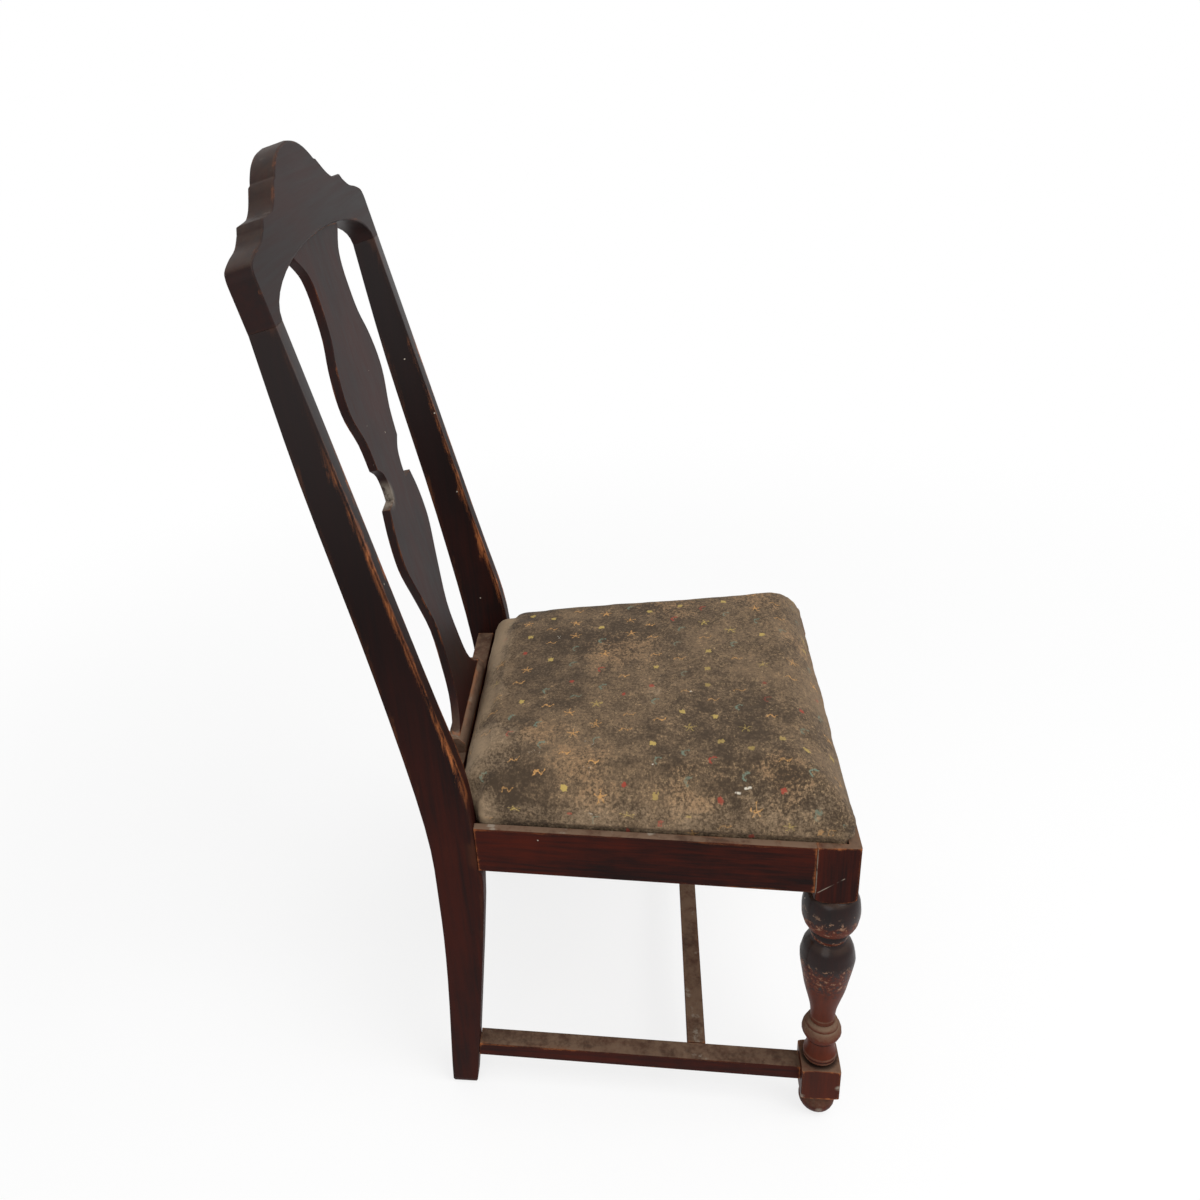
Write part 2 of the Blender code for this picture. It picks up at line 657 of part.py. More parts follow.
def splat(bench, crest, shoe):
    half = splat_half()
    outline = [(x, 0, z) for x, z in half] + [(-x, 0, z) for x, z in reversed(half)]
    bm = prism(outline, (0, 0, 0), (0, SPLAT_THICK, 0))
    ease(bm, lambda a, b: abs(a.y - b.y) < GAP and abs(a.x - b.x) < FOOT_HALF, SPLAT_EASE)
    board = bench.piece("splat", bm, "back", SPLAT_FRAME)

    arch = arch_points(GAP, FLARE_HALF + SPLAT_TENON, 14)
    ceiling = SPRING + 2 * CREST_RISE
    above = arch + [(arch[-1][0], ceiling), (arch[0][0], ceiling)]
    above = prism([(x, 0, z) for x, z in above], (0, -CREST_THICK, 0), (0, 3 * CREST_THICK, 0))
    bench.combine(board, "DIFFERENCE", bench.helper("splat_top", above, BACK_FRAME))
    reach = 3 * CREST_THICK
    below = box((-2 * FOOT_HALF, SPLAT_Y - reach, 0), (2 * FOOT_HALF, SPLAT_Y + reach, SHOE_TOP + GAP))
    bench.combine(board, "DIFFERENCE", bench.helper("splat_foot", below))

    crown = BACK_FRAME @ Vector((0, CREST_THICK / 2, SPRING + ARCH_RISE))
    height = (SPLAT_FRAME.inverted() @ crown).z
    middle = (BACK_FRAME.inverted() @ SPLAT_FRAME @ Vector((0, SPLAT_THICK / 2, height))).y
    arch_top = SPRING + ARCH_RISE
    top_ends = arch_top - SPLAT_TENON, arch_top + SPLAT_TENON
    foot_ends = -SPLAT_TENON, SPLAT_TENON / 2
    foot_half = FOOT_HALF - 2 * SPLAT_TENON
    for name, host, place, centre, half, ends in (
        ("splat_top", crest, BACK_FRAME, middle, THROAT_HALF, top_ends),
        ("splat_foot", shoe, SPLAT_FRAME, SPLAT_THICK / 2, foot_half, foot_ends),
    ):
        def bar(grow):
            low = (-half - grow, centre - SPLAT_TONGUE / 2 - grow, ends[0] - grow)
            return box(low, (half + grow, centre + SPLAT_TONGUE / 2 + grow, ends[1] + grow))

        bench.combine(board, "UNION", bench.helper(f"{name}_tongue", bar(0), place))
        bench.combine(host, "DIFFERENCE", bench.helper(f"{name}_groove", bar(GAP), place))
    return board


def splat_shoe(bench):
    front = REAR_LIP_Y + GAP
    low = REAR_RAIL_TOP + GAP
    section = [
        (front, low), (front + SHOE_DEPTH, low), (front + SHOE_DEPTH, SHOE_TOP),
        (front + SHOE_CHAMFER, SHOE_TOP), (front, SHOE_TOP - SHOE_CHAMFER),
    ]
    bm = prism([(0, y, z) for y, z in section], (-SHOE_HALF, 0, 0), (2 * SHOE_HALF, 0, 0))
    return bench.piece("splat_shoe", bm, "back")


# Seat rails

def rail_section(front, lip_edge, back, top):
    """An L section (depth, height) with the lip between front and lip_edge and the seat's ledge behind it."""
    ledge = [(front, RAIL_BOTTOM), (back, RAIL_BOTTOM), (back, LEDGE_Z)]
    return ledge + [(lip_edge, LEDGE_Z), (lip_edge, top), (front, top)]


def side_rails(bench, legs, posts):
    rails = {}
    start, end = LEG_STOCK + GAP, SEAT_DEPTH - GAP
    section = rail_section(0, LIP, RAIL_THICK, RAIL_TOP)
    for name, side in SIDES.items():
        rings = [[(side * (side_x(y) - depth), y, z) for depth, z in section] for y in (start, end)]
        bm = loft(rings)
        outer = side_x(end) - LIP / 2

        def lip_edge(a, b):
            return abs(a.y - b.y) > LEG_STOCK and min(abs(a.x), abs(b.x)) > outer

        ease(bm, lip_edge, STRETCHER_EASE)
        rail = bench.piece(f"side_seat_rail_{name}", bm, "frame")

        def bar(grow):
            depths = (TENON_INSET - grow, TENON_INSET + TENON_THICK + grow)
            heights = RAIL_BOTTOM + TENON_SHOULDER - grow, LEDGE_Z - TENON_SHOULDER + grow
            ends = LEG_STOCK - TENON_LENGTH - grow, SEAT_DEPTH + TENON_LENGTH + grow
            corners = [(depths[i], heights[j]) for i, j in ((0, 0), (1, 0), (1, 1), (0, 1))]
            return loft([[(side * (side_x(y) - d), y, z) for d, z in corners] for y in ends])

        joint(bench, f"side_rail_{name}", rail, (legs[name], posts[name]), bar)
        rails[name] = rail
    return rails


def cross_rail(bench, name, section, half, tenon, hosts):
    """A rail that runs from side to side, with a tenon at each end."""
    bm = prism([(0, y, z) for y, z in section], (-half + GAP, 0, 0), (2 * half - 2 * GAP, 0, 0))
    top = section[-1][1]

    def top_edge(a, b):
        return abs(a.x - b.x) > half and min(a.z, b.z) > top - GAP

    ease(bm, top_edge, STRETCHER_EASE)
    rail = bench.piece(name, bm, "frame")

    def bar(grow):
        low = (-half - tenon[2] - grow, tenon[0] - grow, RAIL_BOTTOM + TENON_SHOULDER - grow)
        return box(low, (half + tenon[2] + grow, tenon[1] + grow, LEDGE_Z - TENON_SHOULDER + grow))

    joint(bench, name, rail, hosts, bar)
    return rail


def front_and_rear_rails(bench, legs, posts):
    front = FRONT_RAIL_SETBACK
    section = rail_section(front, FRONT_LIP_Y, front + RAIL_THICK, RAIL_TOP)
    tenon = front + TENON_INSET, front + TENON_INSET + TENON_THICK, TENON_LENGTH
    front_rail = cross_rail(bench, "front_seat_rail", section, LEG_INNER, tenon, legs.values())
    back = REAR_RAIL_Y + REAR_RAIL_THICK
    section = rail_section(back, REAR_LIP_Y, REAR_RAIL_Y, REAR_RAIL_TOP)
    tenon = back - TENON_INSET - TENON_THICK, back - TENON_INSET, POST_THICK - TENON_INSET
    rear_rail = cross_rail(bench, "rear_seat_rail", section, POST_INNER, tenon, posts.values())
    return front_rail, rear_rail


# Stretchers

def stretcher_x(y):
    """Half the width over the side stretchers, at a distance back from the front."""
    front = FRONT_WIDTH / 2 - STRETCHER_FRONT_INSET
    rear = REAR_WIDTH / 2 - STRETCHER_REAR_INSET
    back = post_front_y(STRETCHER_TOP)
    return front + (rear - front) * (y - LEG_STOCK) / (back - LEG_STOCK)


def stretchers(bench, legs, posts):
    low = STRETCHER_TOP - STRETCHER_HEIGHT
    sides = {}
    for name, side in SIDES.items():
        section = [(0, low), (STRETCHER_WIDTH, low), (STRETCHER_WIDTH, STRETCHER_TOP), (0, STRETCHER_TOP)]
        front_ring = [(side * (stretcher_x(LEG_STOCK) - d), LEG_STOCK + GAP, z) for d, z in section]
        rear_ring = []
        for depth, z in section:
            y = post_front_y(z)
            rear_ring.append((side * (stretcher_x(y) - depth), y - GAP, z))
        bm = loft([front_ring, rear_ring])
        ease(bm, lambda a, b: abs(a.y - b.y) > LEG_STOCK, STRETCHER_EASE)
        rail = bench.piece(f"side_stretcher_{name}", bm, "frame")

        def bar(grow):
            inner = STRETCHER_SHOULDER - grow
            corners = [(inner, low + inner), (STRETCHER_WIDTH - inner, low + inner)]
            corners += [(STRETCHER_WIDTH - inner, STRETCHER_TOP - inner), (inner, STRETCHER_TOP - inner)]
            ends = LEG_STOCK - STRETCHER_TENON - grow, post_front_y(low) + STRETCHER_TENON + grow
            return loft([[(side * (stretcher_x(y) - d), y, z) for d, z in corners] for y in ends])

        joint(bench, f"side_stretcher_{name}", rail, (legs[name], posts[name]), bar)
        sides[name] = rail
    cross_low = STRETCHER_TOP - CROSS_HEIGHT
    section = [(0, cross_low), (CROSS_WIDTH, cross_low), (CROSS_WIDTH, STRETCHER_TOP), (0, STRETCHER_TOP)]
    rings = []
    for side in (-1, 1):
        ring = []
        for y, z in section:
            reach = stretcher_x(CROSS_Y + y) - STRETCHER_WIDTH - GAP
            ring.append((side * reach, CROSS_Y + y, z))
        rings.append(ring)
    bm = loft(rings)
    ease(bm, lambda a, b: abs(a.x - b.x) > LEG_STOCK, STRETCHER_EASE)
    cross = bench.piece("cross_stretcher", bm, "frame")

    def cross_bar(grow):
        inner = STRETCHER_SHOULDER - grow
        reach = stretcher_x(CROSS_Y) - STRETCHER_WIDTH + CROSS_TENON + grow
        low_corner = (-reach, CROSS_Y + inner, cross_low + inner)
        return box(low_corner, (reach, CROSS_Y + CROSS_WIDTH - inner, STRETCHER_TOP - inner))

    joint(bench, "cross_stretcher", cross, sides.values(), cross_bar)


# Corner blocks

def screw(bench, name, place, hosts):
    """A countersunk wood screw with its head up local Z, and the hole it needs."""
    tip = SCREW_SEAT + SCREW_BITE
    profile = [
        (0, SCREW_HEAD), (SCREW_HEAD_RADIUS, SCREW_HEAD), (SCREW_RADIUS, 0),
        (SCREW_RADIUS, -tip + 2 * SCREW_HEAD), (0, -tip),
    ]
    bench.piece(name, turned(profile, SCREW_STEPS), "steel", place)
    wide = SCREW_HEAD_RADIUS + GAP
    narrow = SCREW_RADIUS + GAP
    hole = [
        (0, BLOCK_REACH), (wide, BLOCK_REACH), (wide, SCREW_HEAD), (narrow, -GAP),
        (narrow, -tip + 2 * SCREW_HEAD), (0, -tip - 2 * GAP),
    ]
    hole = bench.helper(f"{name}_hole", turned(hole, SCREW_STEPS), place)
    for host in hosts:
        bench.combine(host, "DIFFERENCE", hole)


def corner_block(bench, name, side, rail_face, inward, post_x, post_face, hosts):
    """A glue block in a corner of the seat frame, notched round the leg or post, with two screws."""
    face = rail_face + inward * GAP
    notch = post_face + inward * GAP
    far = face + inward * BLOCK_REACH

    def rail_x(y):
        return side_x(y) - RAIL_THICK - GAP

    outline = [
        (post_x - GAP - BLOCK_REACH, face), (post_x - GAP, face), (post_x - GAP, notch),
        (rail_x(notch), notch), (rail_x(far), far),
    ]
    top = LEDGE_Z - BLOCK_DROP
    bm = plan_prism([(side * x, y) for x, y in outline], top - BLOCK_HEIGHT, top)
    block = bench.piece(f"corner_block_{name}", bm, "inner_wood")
    middle = top - BLOCK_HEIGHT / 2
    lift = BLOCK_HEIGHT / 5
    cross_x = side * (post_x - BLOCK_REACH / 2)
    into_cross = Matrix.Translation((cross_x, face + inward * SCREW_SEAT, middle + lift))
    into_cross = into_cross @ Matrix.Rotation(-inward * math.pi / 2, 4, "X")
    side_y = face + inward * BLOCK_REACH * 0.62
    into_side = Matrix.Translation((side * (rail_x(side_y) - SCREW_SEAT), side_y, middle - lift))
    into_side = into_side @ Matrix.Rotation(-side * math.pi / 2, 4, "Y")
    screw(bench, f"block_screw_{name}_1", into_cross, (block, hosts[0]))
    screw(bench, f"block_screw_{name}_2", into_side, (block, hosts[1]))


def corner_blocks(bench, side_pieces, front_rail, rear_rail):
    for name, side in SIDES.items():
        front_face = FRONT_RAIL_SETBACK + RAIL_THICK
        rail = side_pieces[name]
        corner_block(bench, f"front_{name}", side, front_face, 1, LEG_INNER, LEG_STOCK, (front_rail, rail))
        corner_block(bench, f"rear_{name}", side, REAR_RAIL_Y, -1, POST_INNER, SEAT_DEPTH, (rear_rail, rail))


# Lift-out seat

BOARD_LOW = LEDGE_Z + GAP + CLOTH + GAP
BOARD_HIGH = BOARD_LOW + BOARD_THICK
STRAP_LOW = BOARD_HIGH + GAP
BURLAP_LOW = STRAP_LOW + 2 * (STRAP_THICK + GAP)
STUFFING_LOW = BURLAP_LOW + STRAP_THICK + GAP


def seat_boards(bench):
    inset = CLOTH + GAP
    rim = seat_outline(inset)
    front, back = min(y for x, y in rim), max(y for x, y in rim)
    front_end, rear_start = front + BOARD_WIDTH, back - BOARD_WIDTH

    def edge(y):
        return side_x(y) - LIP - SEAT_CLEARANCE - inset

    front_half = [(x, y) for x, y in rim if x > 0 and y < front_end] + [(edge(front_end), front_end)]
    rear_half = [(edge(rear_start), rear_start)] + [(x, y) for x, y in rim if x > 0 and y > rear_start]
    boards = {}
    for name, half in (("front", front_half), ("rear", rear_half)):
        outline = half + [(-x, y) for x, y in reversed(half)]
        boards[name] = bench.piece(
            f"seat_board_{name}", plan_prism(outline, BOARD_LOW, BOARD_HIGH), "inner_wood", parent=bench.seat)
    for name, side in SIDES.items():
        start, end = front_end + GAP, rear_start - GAP
        corners = (start, 0), (end, 0), (end, BOARD_WIDTH), (start, BOARD_WIDTH)
        outline = [(side * (edge(y) - depth), y) for y, depth in corners]
        board = bench.piece(
            f"seat_board_{name}", plan_prism(outline, BOARD_LOW, BOARD_HIGH), "inner_wood", parent=bench.seat)

        def bar(grow):
            ends = front_end - BOARD_TENON - grow, rear_start + BOARD_TENON + grow
            depths = BOARD_WIDTH / 4 - grow, BOARD_WIDTH * 3 / 4 + grow
            order = (0, 0), (1, 0), (1, 1), (0, 1)
            plan = [(side * (edge(ends[i]) - depths[j]), ends[i]) for i, j in order]
            middle = (BOARD_LOW + BOARD_HIGH) / 2
            return plan_prism(plan, middle - BOARD_TONGUE / 2 - grow, middle + BOARD_TONGUE / 2 + grow)

        joint(bench, f"seat_board_{name}", board, boards.values(), bar, bench.seat)
    return front, back, edge


def seat_webbing(bench, front, back, edge):
    middle = (front + back) / 2
    half = STRAP_WIDTH / 2
    for i, step in enumerate((-1, 0, 1), 1):
        x = step * STRAP_PITCH
        low = (x - half, front + STRAP_ENDS, STRAP_LOW)
        strap = box(low, (x + half, back - STRAP_ENDS, STRAP_LOW + STRAP_THICK))
        bench.piece(f"webbing_lengthwise_{i}", strap, "webbing", parent=bench.seat)
        y = middle + step * STRAP_PITCH
        reach = edge(y + half) - STRAP_ENDS
        level = STRAP_LOW + STRAP_THICK + GAP
        strap = box((-reach, y - half, level), (reach, y + half, level + STRAP_THICK))
        bench.piece(f"webbing_crosswise_{i}", strap, "webbing", parent=bench.seat)


def pad_rings(inset, low, drop):
    """Rings up the side and over the crown of the padded seat, under its outer surface by a drop."""
    outline = seat_outline(inset)
    front, back = min(y for x, y in outline), max(y for x, y in outline)
    half = max(x for x, y in outline)
    centre = Vector((0, (front + back) / 2))
    roll_low = LEDGE_Z + SIDE_HEIGHT

    def ring(distance, height, push=0, lift=0):
        """A ring set in by a distance, pushed forward along its front edge and lifted towards the front."""
        points = []
        for point in outline:
            x, y = centre.lerp(point, 1 - distance / half)
            ahead = (back - y) / (back - front)
            points.append((x, y - push * ahead ** 4, height + lift * ahead))
        return points

    rings = [ring(0, low)]
    for distance, height, push in (
        (0, RAIL_TOP + GAP, 0),
        (-SIDE_BULGE / 2, RAIL_TOP + REBATE / 2, FRONT_BULGE * 0.6),
        (-SIDE_BULGE, roll_low, FRONT_BULGE),
    ):
        if height - drop > low + GAP:
            rings.append(ring(distance, height - drop, push))
    for distance in ROLL_INSETS + CROWN_INSETS:
        turn = math.sqrt(1 - max(0, 1 - distance / ROLL_WIDTH) ** 2)
        crown = 1 - (1 - distance / half) ** 2
        height = roll_low + ROLL_HEIGHT * turn + CROWN * crown - drop
        rings.append(ring(distance, height, FRONT_BULGE * (1 - turn), FRONT_LIFT * turn))
    return rings


def seat_padding(bench):
    outline = seat_outline(BURLAP_INSET)
    burlap = plan_prism(outline, BURLAP_LOW, BURLAP_LOW + STRAP_THICK)
    bench.piece("seat_burlap", burlap, "burlap", parent=bench.seat)
    inner = CLOTH + GAP
    stuffing = loft(pad_rings(inner + GAP, STUFFING_LOW, inner + GAP))
    bench.piece("seat_stuffing", stuffing, "stuffing", parent=bench.seat)
    outside = pad_rings(0, LEDGE_Z + GAP, 0)
    inside = pad_rings(CLOTH, LEDGE_Z + GAP + CLOTH, CLOTH)
    hem = [[(x, y, z) for x, y in seat_outline(TURN_UNDER)] for z in (LEDGE_Z + GAP + CLOTH, LEDGE_Z + GAP)]
    bench.piece("seat_cover", loft(inside[::-1] + hem + outside), "cover", parent=bench.seat)


# The whole chair

def stand_on_origin(bench):
    """Moves the chair so that the origin lies on the floor under the middle of it."""
    bpy.context.view_layer.update()
    graph = bpy.context.evaluated_depsgraph_get()
    ends = []
    for piece in bench.pieces:
        evaluated = piece.evaluated_get(graph)
        ends += [(evaluated.matrix_world @ Vector(corner)).y for corner in evaluated.bound_box]
    bench.chair.location.y = -(min(ends) + max(ends)) / 2


def main():
    for thing in list(bpy.data.objects):
        bpy.data.objects.remove(thing)
    bench = Bench()
    legs = front_legs(bench)
    posts = rear_posts(bench)
    side_pieces = side_rails(bench, legs, posts)
    front_rail, rear_rail = front_and_rear_rails(bench, legs, posts)
    crest = crest_rail(bench, posts)
    shoe = splat_shoe(bench)
    splat(bench, crest, shoe)
    stretchers(bench, legs, posts)
    corner_blocks(bench, side_pieces, front_rail, rear_rail)
    front, back, edge = seat_boards(bench)
    seat_webbing(bench, front, back, edge)
    seat_padding(bench)
    stand_on_origin(bench)


main()
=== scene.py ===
"""Finishes a dining chair: worn dark wood, a padded patterned seat over jute, and a pale studio floor."""

import math

import bmesh
import bpy
from bpy.props import FloatProperty, FloatVectorProperty, IntProperty, PointerProperty
from mathutils import Matrix, Vector, noise
from mathutils.bvhtree import BVHTree


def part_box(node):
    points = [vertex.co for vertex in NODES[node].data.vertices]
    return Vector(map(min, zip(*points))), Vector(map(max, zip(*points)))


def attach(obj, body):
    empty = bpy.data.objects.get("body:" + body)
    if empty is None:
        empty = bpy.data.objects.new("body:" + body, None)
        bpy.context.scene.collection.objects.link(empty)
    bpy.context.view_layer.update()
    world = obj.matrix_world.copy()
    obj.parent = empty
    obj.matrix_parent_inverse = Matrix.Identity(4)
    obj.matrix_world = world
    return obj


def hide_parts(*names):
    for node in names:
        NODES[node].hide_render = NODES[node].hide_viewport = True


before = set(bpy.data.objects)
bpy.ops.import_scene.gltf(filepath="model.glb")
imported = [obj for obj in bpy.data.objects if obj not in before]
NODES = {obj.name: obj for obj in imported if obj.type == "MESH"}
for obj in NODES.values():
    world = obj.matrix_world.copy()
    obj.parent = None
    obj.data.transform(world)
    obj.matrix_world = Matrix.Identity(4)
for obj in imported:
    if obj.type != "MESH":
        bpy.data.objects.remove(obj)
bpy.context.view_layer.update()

bl_info = {
    "name": "Dining chair finishes",
    "version": (1, 0, 0),
    "blender": (4, 5, 0),
    "location": "View3D > Sidebar > Chair",
    "description": "Finishes, upholstery and stage for a dining chair with a lift-out seat",
    "category": "Object",
}

MM = 0.001
SEAT_BODY = "lift_out_seat"
SIDES = ("left", "right")
SEAT_LOW, SEAT_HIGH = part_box("seat_cover")
SEAT_MIDDLE = (SEAT_LOW + SEAT_HIGH) / 2
BURLAP_LOW, BURLAP_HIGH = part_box("seat_burlap")
WELD_DISTANCE = 0.01 * MM


def colour(name, description, value):
    return FloatVectorProperty(
        name=name, description=description, subtype="COLOR", size=3, min=0.0, max=1.0, default=value,
    )


def length(name, description, value):
    return FloatProperty(
        name=name, description=description, subtype="DISTANCE", unit="LENGTH",
        min=0.0, precision=4, default=value,
    )


def power(name, description, value):
    return FloatProperty(name=name, description=description, unit="POWER", min=0.0, default=value)


def share(name, description, value, most=1.0):
    return FloatProperty(name=name, description=description, min=0.0, max=most, default=value)


class ChairWood(bpy.types.PropertyGroup):
    """Stain, wear and dust on the chair's frame."""

    # The dark stain is also the colour of the painted shade in corners and on the legs' groove lines.
    stain_dark: colour("Dark stain", "Stain in the pores and on the upper frame", (0.0085, 0.0047, 0.0044))
    stain_red: colour("Red stain", "Stain where the timber shows through", (0.060, 0.0090, 0.0042))
    polished: colour("Polished wood", "Timber rubbed bright on the turned legs", (0.104, 0.0235, 0.0115))
    worn: colour("Worn wood", "Bare timber on rubbed edges", (0.50, 0.170, 0.058))
    chipped: colour("Chipped wood", "Dry timber in small chips", (0.33, 0.20, 0.125))
    dust: colour("Dust", "Dust on faces that look up", (0.160, 0.102, 0.068))
    lint: colour("Lint", "Pale dust caught in patches", (0.31, 0.265, 0.21))
    fleck: colour("Flecks", "Specks of old paint", (0.62, 0.54, 0.44))
    bare: colour("Bare timber", "Unstained timber under the seat", (0.33, 0.215, 0.12))
    steel: colour("Screws", "Dull steel of the wood screws", (0.30, 0.28, 0.26))
    edge_reach: length("Wear width", "How far wear reaches from an edge", 5 * MM)
    smooth_angle: FloatProperty(
        name="Crease angle", description="Edges sharper than this stay crisp", subtype="ANGLE",
        unit="ROTATION", default=math.radians(48),
    )


class ChairSeat(bpy.types.PropertyGroup):
    """Cloth, padding and jute of the lift-out seat."""

    ground: colour("Ground", "Cloth between the figures", (0.166, 0.112, 0.067))
    shade: colour("Shade", "Darker cloth where it is soiled", (0.056, 0.038, 0.024))
    rubbed: colour("Rubbed", "Tan thread where the cloth is rubbed", (0.37, 0.220, 0.112))
    # The pale colour is used for dust on the cloth and for the painted light on its rolls.
    pale: colour("Pale dust", "Grey dust on the cloth", (0.39, 0.280, 0.175))
    fleck: colour("Flecks", "Specks of paint on the cloth", (0.66, 0.60, 0.49))
    frayed: colour("Frayed thread", "Loose ends of thread", (0.50, 0.34, 0.175))
    yellow: colour("Yellow thread", "Figures in yellow", (0.46, 0.33, 0.10))
    red: colour("Red thread", "Figures in red", (0.30, 0.055, 0.035))
    teal: colour("Teal thread", "Figures in blue green", (0.150, 0.190, 0.140))
    tan: colour("Tan thread", "Figures in tan", (0.52, 0.28, 0.10))
    jute: colour("Jute", "Webbing and burlap", (0.38, 0.29, 0.17))
    figure_width: length("Figure pitch across", "Spacing of the figures across the seat", 35 * MM)
    figure_depth: length("Figure pitch back", "Spacing of the figures from front to back", 32 * MM)
    thread: length("Thread pitch", "Spacing of the cloth's threads", 0.9 * MM)
    voxel: length("Voxel", "Cell size of the padding before it is inflated", 5 * MM)
    pressure: share("Pressure", "Pressure that fills the padding", 4.0, 20.0)
    frames: IntProperty(name="Frames", description="Frames for which the padding fills", min=2, default=20)
    slack: length("Slack", "How far the cover may stand off its solid on top", 3 * MM)


class ChairStage(bpy.types.PropertyGroup):
    """Floor, lamps and camera."""

    floor: colour("Floor", "Pale studio floor", (0.93, 0.93, 0.93))
    ambient: share("Ambient", "Strength of the light from all round", 0.55, 4.0)
    key: power("Key lamp", "Power of the lamp above", 70.0)
    fill: power("Fill lamp", "Power of the lamp by the camera", 12.0)


# Shader maths

class Signal:
    """A shader socket that takes Python arithmetic; each operator adds a Math node."""

    def __init__(self, paint, socket):
        self.paint = paint
        self.socket = socket

    def maths(self, operation, *values):
        return self.paint.node("ShaderNodeMath", {"operation": operation}, dict(enumerate(values)))

    def __add__(self, other):
        return self.maths("ADD", self, other)

    def __sub__(self, other):
        return self.maths("SUBTRACT", self, other)

    def __rsub__(self, other):
        return self.maths("SUBTRACT", other, self)

    def __mul__(self, other):
        return self.maths("MULTIPLY", self, other)

    def __truediv__(self, other):
        return self.maths("DIVIDE", self, other)

    def __abs__(self):
        return self.maths("ABSOLUTE", self)

    def __lt__(self, other):
        return self.maths("LESS_THAN", self, other)

    def __gt__(self, other):
        return self.maths("GREATER_THAN", self, other)

    def sine(self):
        return self.maths("SINE", self)

    def sibling(self, output):
        """Another output of the same node."""
        return Signal(self.paint, self.socket.node.outputs[output])

    __radd__ = __add__
    __rmul__ = __mul__


class Paint:
    """Builds one material's nodes."""

    def __init__(self, name):
        self.material = bpy.data.materials.new(name)
        self.material.use_nodes = True
        self.tree = self.material.node_tree
        self.shader = self.tree.nodes["Principled BSDF"]

    def node(self, kind, settings=None, inputs=None, output=0):
        """Adds a node, sets it up, feeds its sockets and gives back one of its outputs."""
        made = self.tree.nodes.new(kind)
        for key, value in (settings or {}).items():
            if key == "stops":
                self.set_stops(made.color_ramp, value)
            else:
                setattr(made, key, value)
        for key, value in (inputs or {}).items():
            self.feed(made.inputs[key], value)
        return Signal(self, made.outputs[output])

    def set_stops(self, ramp, stops):
        ramp.interpolation = "CONSTANT"
        for i, (position, value) in enumerate(stops):
            stop = ramp.elements[i] if i < len(ramp.elements) else ramp.elements.new(position)
            stop.position = position
            stop.color = (*value, 1)

    def feed(self, socket, value):
        if isinstance(value, Signal):
            self.tree.links.new(value.socket, socket)
        elif socket.type == "RGBA":
            socket.default_value = (*value, 1)
        else:
            socket.default_value = value

    def place(self):
        return self.node("ShaderNodeTexCoord", output="Object")

    def scaled(self, vector, factors):
        return self.vector_maths("MULTIPLY", vector, factors)

    def parts(self, vector):
        made = self.node("ShaderNodeSeparateXYZ", inputs={0: vector}).socket.node
        return [Signal(self, output) for output in made.outputs]

    def joined(self, x, y, z):
        return self.node("ShaderNodeCombineXYZ", inputs={0: x, 1: y, 2: z})

    def noise(self, vector, scale, detail=3.0, roughness=0.5, distortion=0.0):
        inputs = {
            "Vector": vector, "Scale": scale, "Detail": detail, "Roughness": roughness,
            "Distortion": distortion,
        }
        return self.node("ShaderNodeTexNoise", inputs=inputs)

    def step(self, value, low, high):
        """Smoothly from 0 at low to 1 at high."""
        settings = {"interpolation_type": "SMOOTHSTEP"}
        inputs = {"Value": value, "From Min": low, "From Max": high}
        return self.node("ShaderNodeMapRange", settings, inputs)

    def blend(self, factor, first, second):
        """A colour between two others; sockets 6 and 7 are the colour mode's inputs."""
        return self.node("ShaderNodeMix", {"data_type": "RGBA"}, {0: factor, 6: first, 7: second}, output=2)

    def edges(self, reach, inside=True):
        """Near 1 on outer edges, or in corners where inside is false."""
        settings = {"samples": 6, "inside": inside, "only_local": True}
        return 1 - self.node("ShaderNodeAmbientOcclusion", settings, {"Distance": reach}, output="AO")

    def normal(self):
        return self.parts(self.node("ShaderNodeNewGeometry", output="Normal"))

    def window(self, value, low, high, soft):
        """1 between two values, with soft ends."""
        return self.step(value, low - soft, low) * (1 - self.step(value, high, high + soft))

    def vector_maths(self, operation, first, second, output=0):
        return self.node("ShaderNodeVectorMath", {"operation": operation}, {0: first, 1: second}, output)

    def stroke(self, place, start, end, width):
        """1 on a thin line between two points."""
        run = Vector(end) - Vector(start)
        offset = self.vector_maths("SUBTRACT", place, start)
        along = self.vector_maths("DOT_PRODUCT", offset, run / run.length_squared, "Value")
        kept = self.node("ShaderNodeClamp", inputs={0: along})
        foot = self.node("ShaderNodeVectorMath", {"operation": "SCALE"}, {0: run, "Scale": kept})
        return 1 - self.step(self.vector_maths("DISTANCE", offset, foot, "Value"), width * 0.3, width)

    def patch(self, place, centre, reach):
        """Fades from 1 at a point to 0 at a distance from it."""
        return 1 - self.step(self.vector_maths("DISTANCE", place, centre, "Value"), reach * 0.2, reach)

    def specks(self, vector, scale, size, kept):
        """Scattered small dots, with a share of the cells kept."""
        inputs = {"Vector": vector, "Scale": scale}
        cell = self.node("ShaderNodeTexVoronoi", inputs=inputs, output="Distance")
        chance = self.parts(cell.sibling("Color"))[0]
        return (cell < size) * (chance > 1 - kept)

    def finish(self, base, roughness, height=None, strength=0.3, depth=0.5 * MM, fixed=None):
        """Joins the results to the shader and sets its fixed values."""
        self.feed(self.shader.inputs["Base Color"], base)
        self.feed(self.shader.inputs["Roughness"], roughness)
        if height is not None:
            inputs = {"Strength": strength, "Distance": depth, "Height": height}
            self.feed(self.shader.inputs["Normal"], self.node("ShaderNodeBump", inputs=inputs))
        for key, value in (fixed or {}).items():
            self.feed(self.shader.inputs[key], value)
        return self.material


# Wood

BACK_RAKE = math.radians(12.4)
DARKENING_RUN = 0.4
FRONT_WEAR = (8 * MM, 16 * MM)
FLAT_ANGLE = math.radians(0.2)

